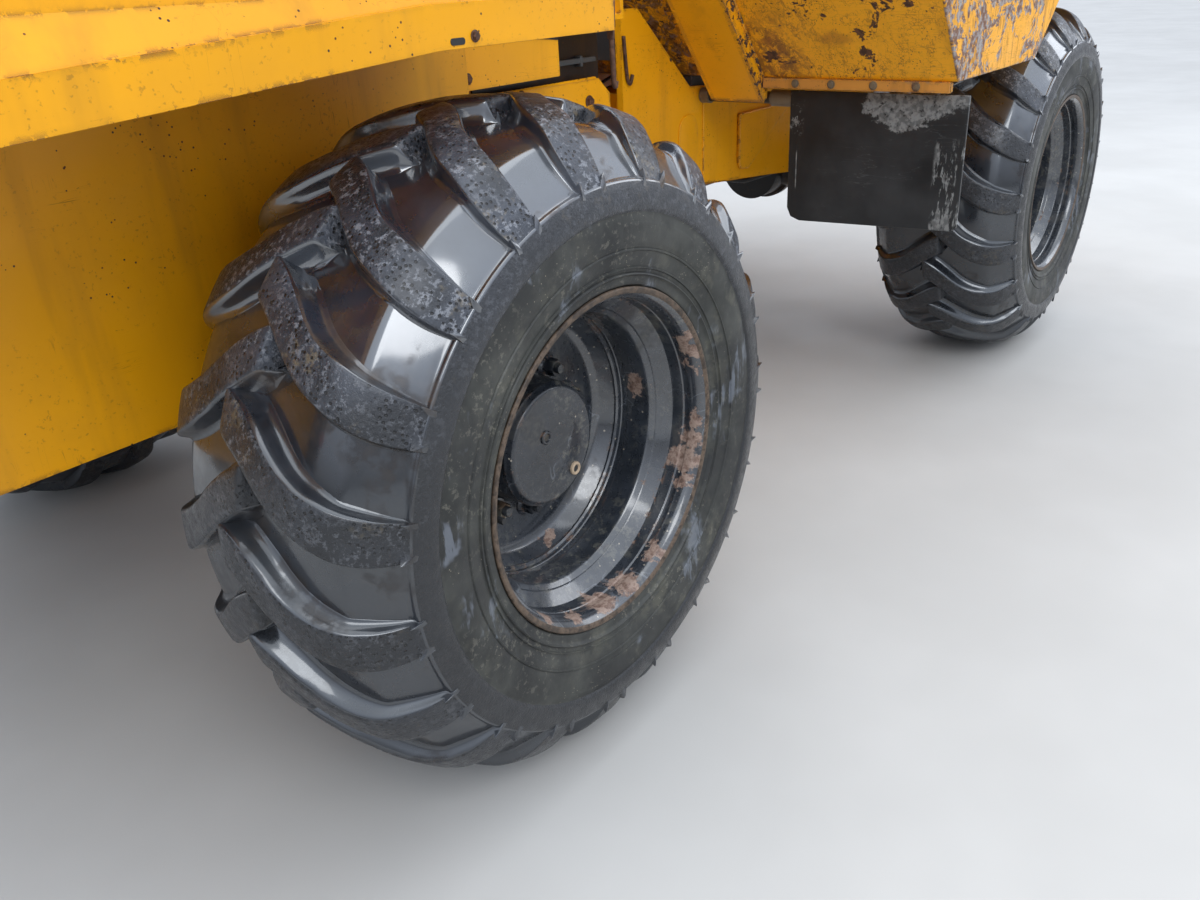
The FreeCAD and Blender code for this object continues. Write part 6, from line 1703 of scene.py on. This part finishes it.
# tip pins: keeper plates outside
acc = Acc()
for s, side in SIDE2:
    mt = frame_to((1.575, s * 0.3715, 0.970), (0, s, 0))
    acc.add(*lathe([(0, -0.0005), (0.043, -0.0005), (0.045, 0.002), (0.043, 0.006), (0.014, 0.008), (0.010, 0.012), (0, 0.013)], 36, mt), mat=0)
    acc.add(*block((-0.022, -0.075, 0.0), (0.022, -0.020, 0.008), 0.002, 1, frame_to((1.575, s * 0.3605, 0.970), (0, s, 0))), mat=0)
    bolt_row(acc, [(1.575 - 0.0, s * 0.3685, 0.970 - 0.062), (1.575, s * 0.3685, 0.970 + 0.062)][:1], (0, s, 0), 0.010, 0.008)
acc.piece("tip_pin_keepers", [m_steel], "front_chassis", "bare_steel", sharp=40)


# ------------------------------------------------------------ seat upholstery
def lie_on(points, verts, tree):
    """Moves points to the nearest place on a pad, evened out along the run."""
    got = [Vector(verts[tree.find(p)[1]]) for p in points]
    out = []
    for i in range(len(got)):
        a, b, c = got[max(i - 1, 0)], got[i], got[min(i + 1, len(got) - 1)]
        out.append(a * 0.28 + b * 0.44 + c * 0.28)
    return out


def soft_pad(name, outline, half, rest_on, face, seams, cap, node):
    """A sewn pad filled by air pressure in a cloth simulation; it stays flat where rest_on says."""
    v, f = slab(outline, "XZ", -half, half, 0.024, 4)
    me = bpy.data.meshes.new(name + "_start")
    me.from_pydata([tuple(p) for p in v], [], f)
    raw = bpy.data.objects.new(name + "_start", me)
    scene.collection.objects.link(raw)
    rm = raw.modifiers.new("even", "REMESH")
    rm.mode = "VOXEL"
    rm.voxel_size = 0.006
    bpy.context.view_layer.update()
    skinned = bpy.data.meshes.new_from_object(raw.evaluated_get(bpy.context.evaluated_depsgraph_get()))
    bpy.data.objects.remove(raw)
    pad = bpy.data.objects.new(name, skinned)
    skinned.name = name
    scene.collection.objects.link(pad)
    n = len(skinned.vertices)
    start = np.empty(n * 3)
    skinned.vertices.foreach_get("co", start)
    start = start.reshape(n, 3)
    nrm = np.empty(n * 3)
    skinned.vertices.foreach_get("normal", nrm)
    nrm = nrm.reshape(n, 3)
    facing = nrm @ np.array(face)
    near_seam = np.min([np.abs(start[:, 1] - y) for y in seams], axis=0)
    held = np.array([rest_on(*p) for p in start])
    sewn = (near_seam < 0.0045) & (facing > 0.6)
    new = start.copy()
    g = pad.vertex_groups.new(name="held")
    g.add([int(i) for i in np.nonzero(held | sewn)[0]], 1.0, "REPLACE")
    cl = pad.modifiers.new("air", "CLOTH")
    st = cl.settings
    st.quality = 5
    st.mass = 0.3
    st.tension_stiffness = st.compression_stiffness = 12
    st.shear_stiffness = 5
    st.bending_stiffness = 0.6
    st.use_pressure = True
    st.uniform_pressure_force = 4
    st.vertex_group_mass = "held"
    st.effector_weights.gravity = 0
    cl.collision_settings.use_collision = False
    cl.collision_settings.use_self_collision = False
    cl.point_cache.frame_start = 1
    cl.point_cache.frame_end = 20
    for fr in range(1, 21):
        scene.frame_set(fr)
    done = pad.evaluated_get(bpy.context.evaluated_depsgraph_get())
    got = np.empty(n * 3)
    done.data.vertices.foreach_get("co", got)
    new = got.reshape(n, 3).copy()
    pad.modifiers.clear()
    scene.frame_set(1)
    step = new - start
    size = np.linalg.norm(step, axis=1)
    step *= np.minimum(1.0, cap / np.maximum(size, 1e-9))[:, None]
    new = start + step
    # gathers beside the seams
    pucker = np.exp(-near_seam / 0.016) * (facing > 0.3)
    along = start[:, 0] * 190.0 + start[:, 2] * 150.0
    new += np.array(face) * (0.0011 * pucker * np.sin(along + 2.2 * np.sin(along * 0.23)))[:, None]
    lo, hi = [np.array(c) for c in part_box(node)]
    new = np.clip(new, lo + 0.0005, hi - 0.0005)
    skinned.vertices.foreach_set("co", new.ravel())
    skinned.update()
    bm = bmesh.new()
    bm.from_mesh(skinned)
    bmesh.ops.smooth_vert(bm, verts=bm.verts[:], factor=0.35, use_axis_x=True, use_axis_y=True, use_axis_z=True)
    bm.to_mesh(skinned)
    bm.free()
    skinned.materials.clear()
    skinned.materials.append(m_vinyl)
    skinned.polygons.foreach_set("use_smooth", [True] * len(skinned.polygons))
    skinned.update()
    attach(pad, "rear_chassis")
    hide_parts(node)
    verts = [tuple(p.co) for p in skinned.vertices]
    tree = KDTree(len(verts))
    for i, p in enumerate(verts):
        tree.insert(p, i)
    tree.balance()
    return pad, verts, tree


def sewn_trim(name, verts, tree, ring, seams_at):
    """Piping round the pad's face, and stitches beside each seam."""
    acc = Acc()
    run = lie_on(ring, verts, tree)
    acc.add(*tube(run, 0.0042, 10), mat=0)
    for line in seams_at:
        path = lie_on(line, verts, tree)
        for side in (-0.0055, 0.0055):
            for k in range(0, len(path) - 1, 2):
                a, b = path[k], path[k + 1]
                off = Vector((0, side, 0))
                acc.add(*tube([a + off, a.lerp(b, 0.8) + off], 0.0010, 5), mat=1)
    acc.piece(name, [m_vinyl, m_stitch], "rear_chassis", "seat_vinyl", sharp=60)


def ring_of(corners, r, step=0.012):
    """Closed run round a flat loop of corner points with rounded corners."""
    pts = [Vector(c) for c in corners]
    mid = (pts[0] + pts[1]) / 2
    loop = smooth_path([mid] + pts[1:] + [pts[0], mid], r, 6)
    out = []
    for a, b in zip(loop, loop[1:]):
        k = max(1, int((b - a).length / step))
        out += [a.lerp(b, j / k) for j in range(k)]
    return out + [loop[-1]]


CUSH = [(-0.928, 1.5530), (-0.479, 1.5530), (-0.474, 1.618), (-0.500, 1.648), (-0.600, 1.650), (-0.880, 1.640), (-0.928, 1.652)]
pad, verts, tree = soft_pad("driver_seat_cushion", CUSH, 0.228, lambda x, y, z: z < 1.5585, (0.0, 0.0, 1.0), (-0.098, 0.098), 0.015, "seat_cushion")
sewn_trim("seat_cushion_seams", verts, tree,
          ring_of([(-0.925, -0.226, 1.640), (-0.480, -0.226, 1.632), (-0.480, 0.226, 1.632), (-0.925, 0.226, 1.640)], 0.03),
          [[(-0.915 + 0.008 * k, y, 1.655) for k in range(54)] for y in (-0.098, 0.098)])
BACK = [(-0.9215, 1.675), (-0.9970, 2.070), (-0.935, 2.072), (-0.926, 2.055), (-0.857, 1.700), (-0.850, 1.676)]
pad, verts, tree = soft_pad("driver_seat_back", BACK, 0.218, lambda x, y, z: x < -0.9215 - (z - 1.675) * 0.191 + 0.006, (0.98, 0.0, 0.19), (-0.095, 0.095), 0.015,
                            "seat_back")
sewn_trim("seat_back_seams", verts, tree,
          ring_of([(-0.852, -0.215, 1.690), (-0.924, -0.215, 2.058), (-0.924, 0.215, 2.058), (-0.852, 0.215, 1.690)], 0.04),
          [[(-0.842 - 0.0015 * k, y, 1.695 + 0.0080 * k) for k in range(46)] for y in (-0.095, 0.095)])
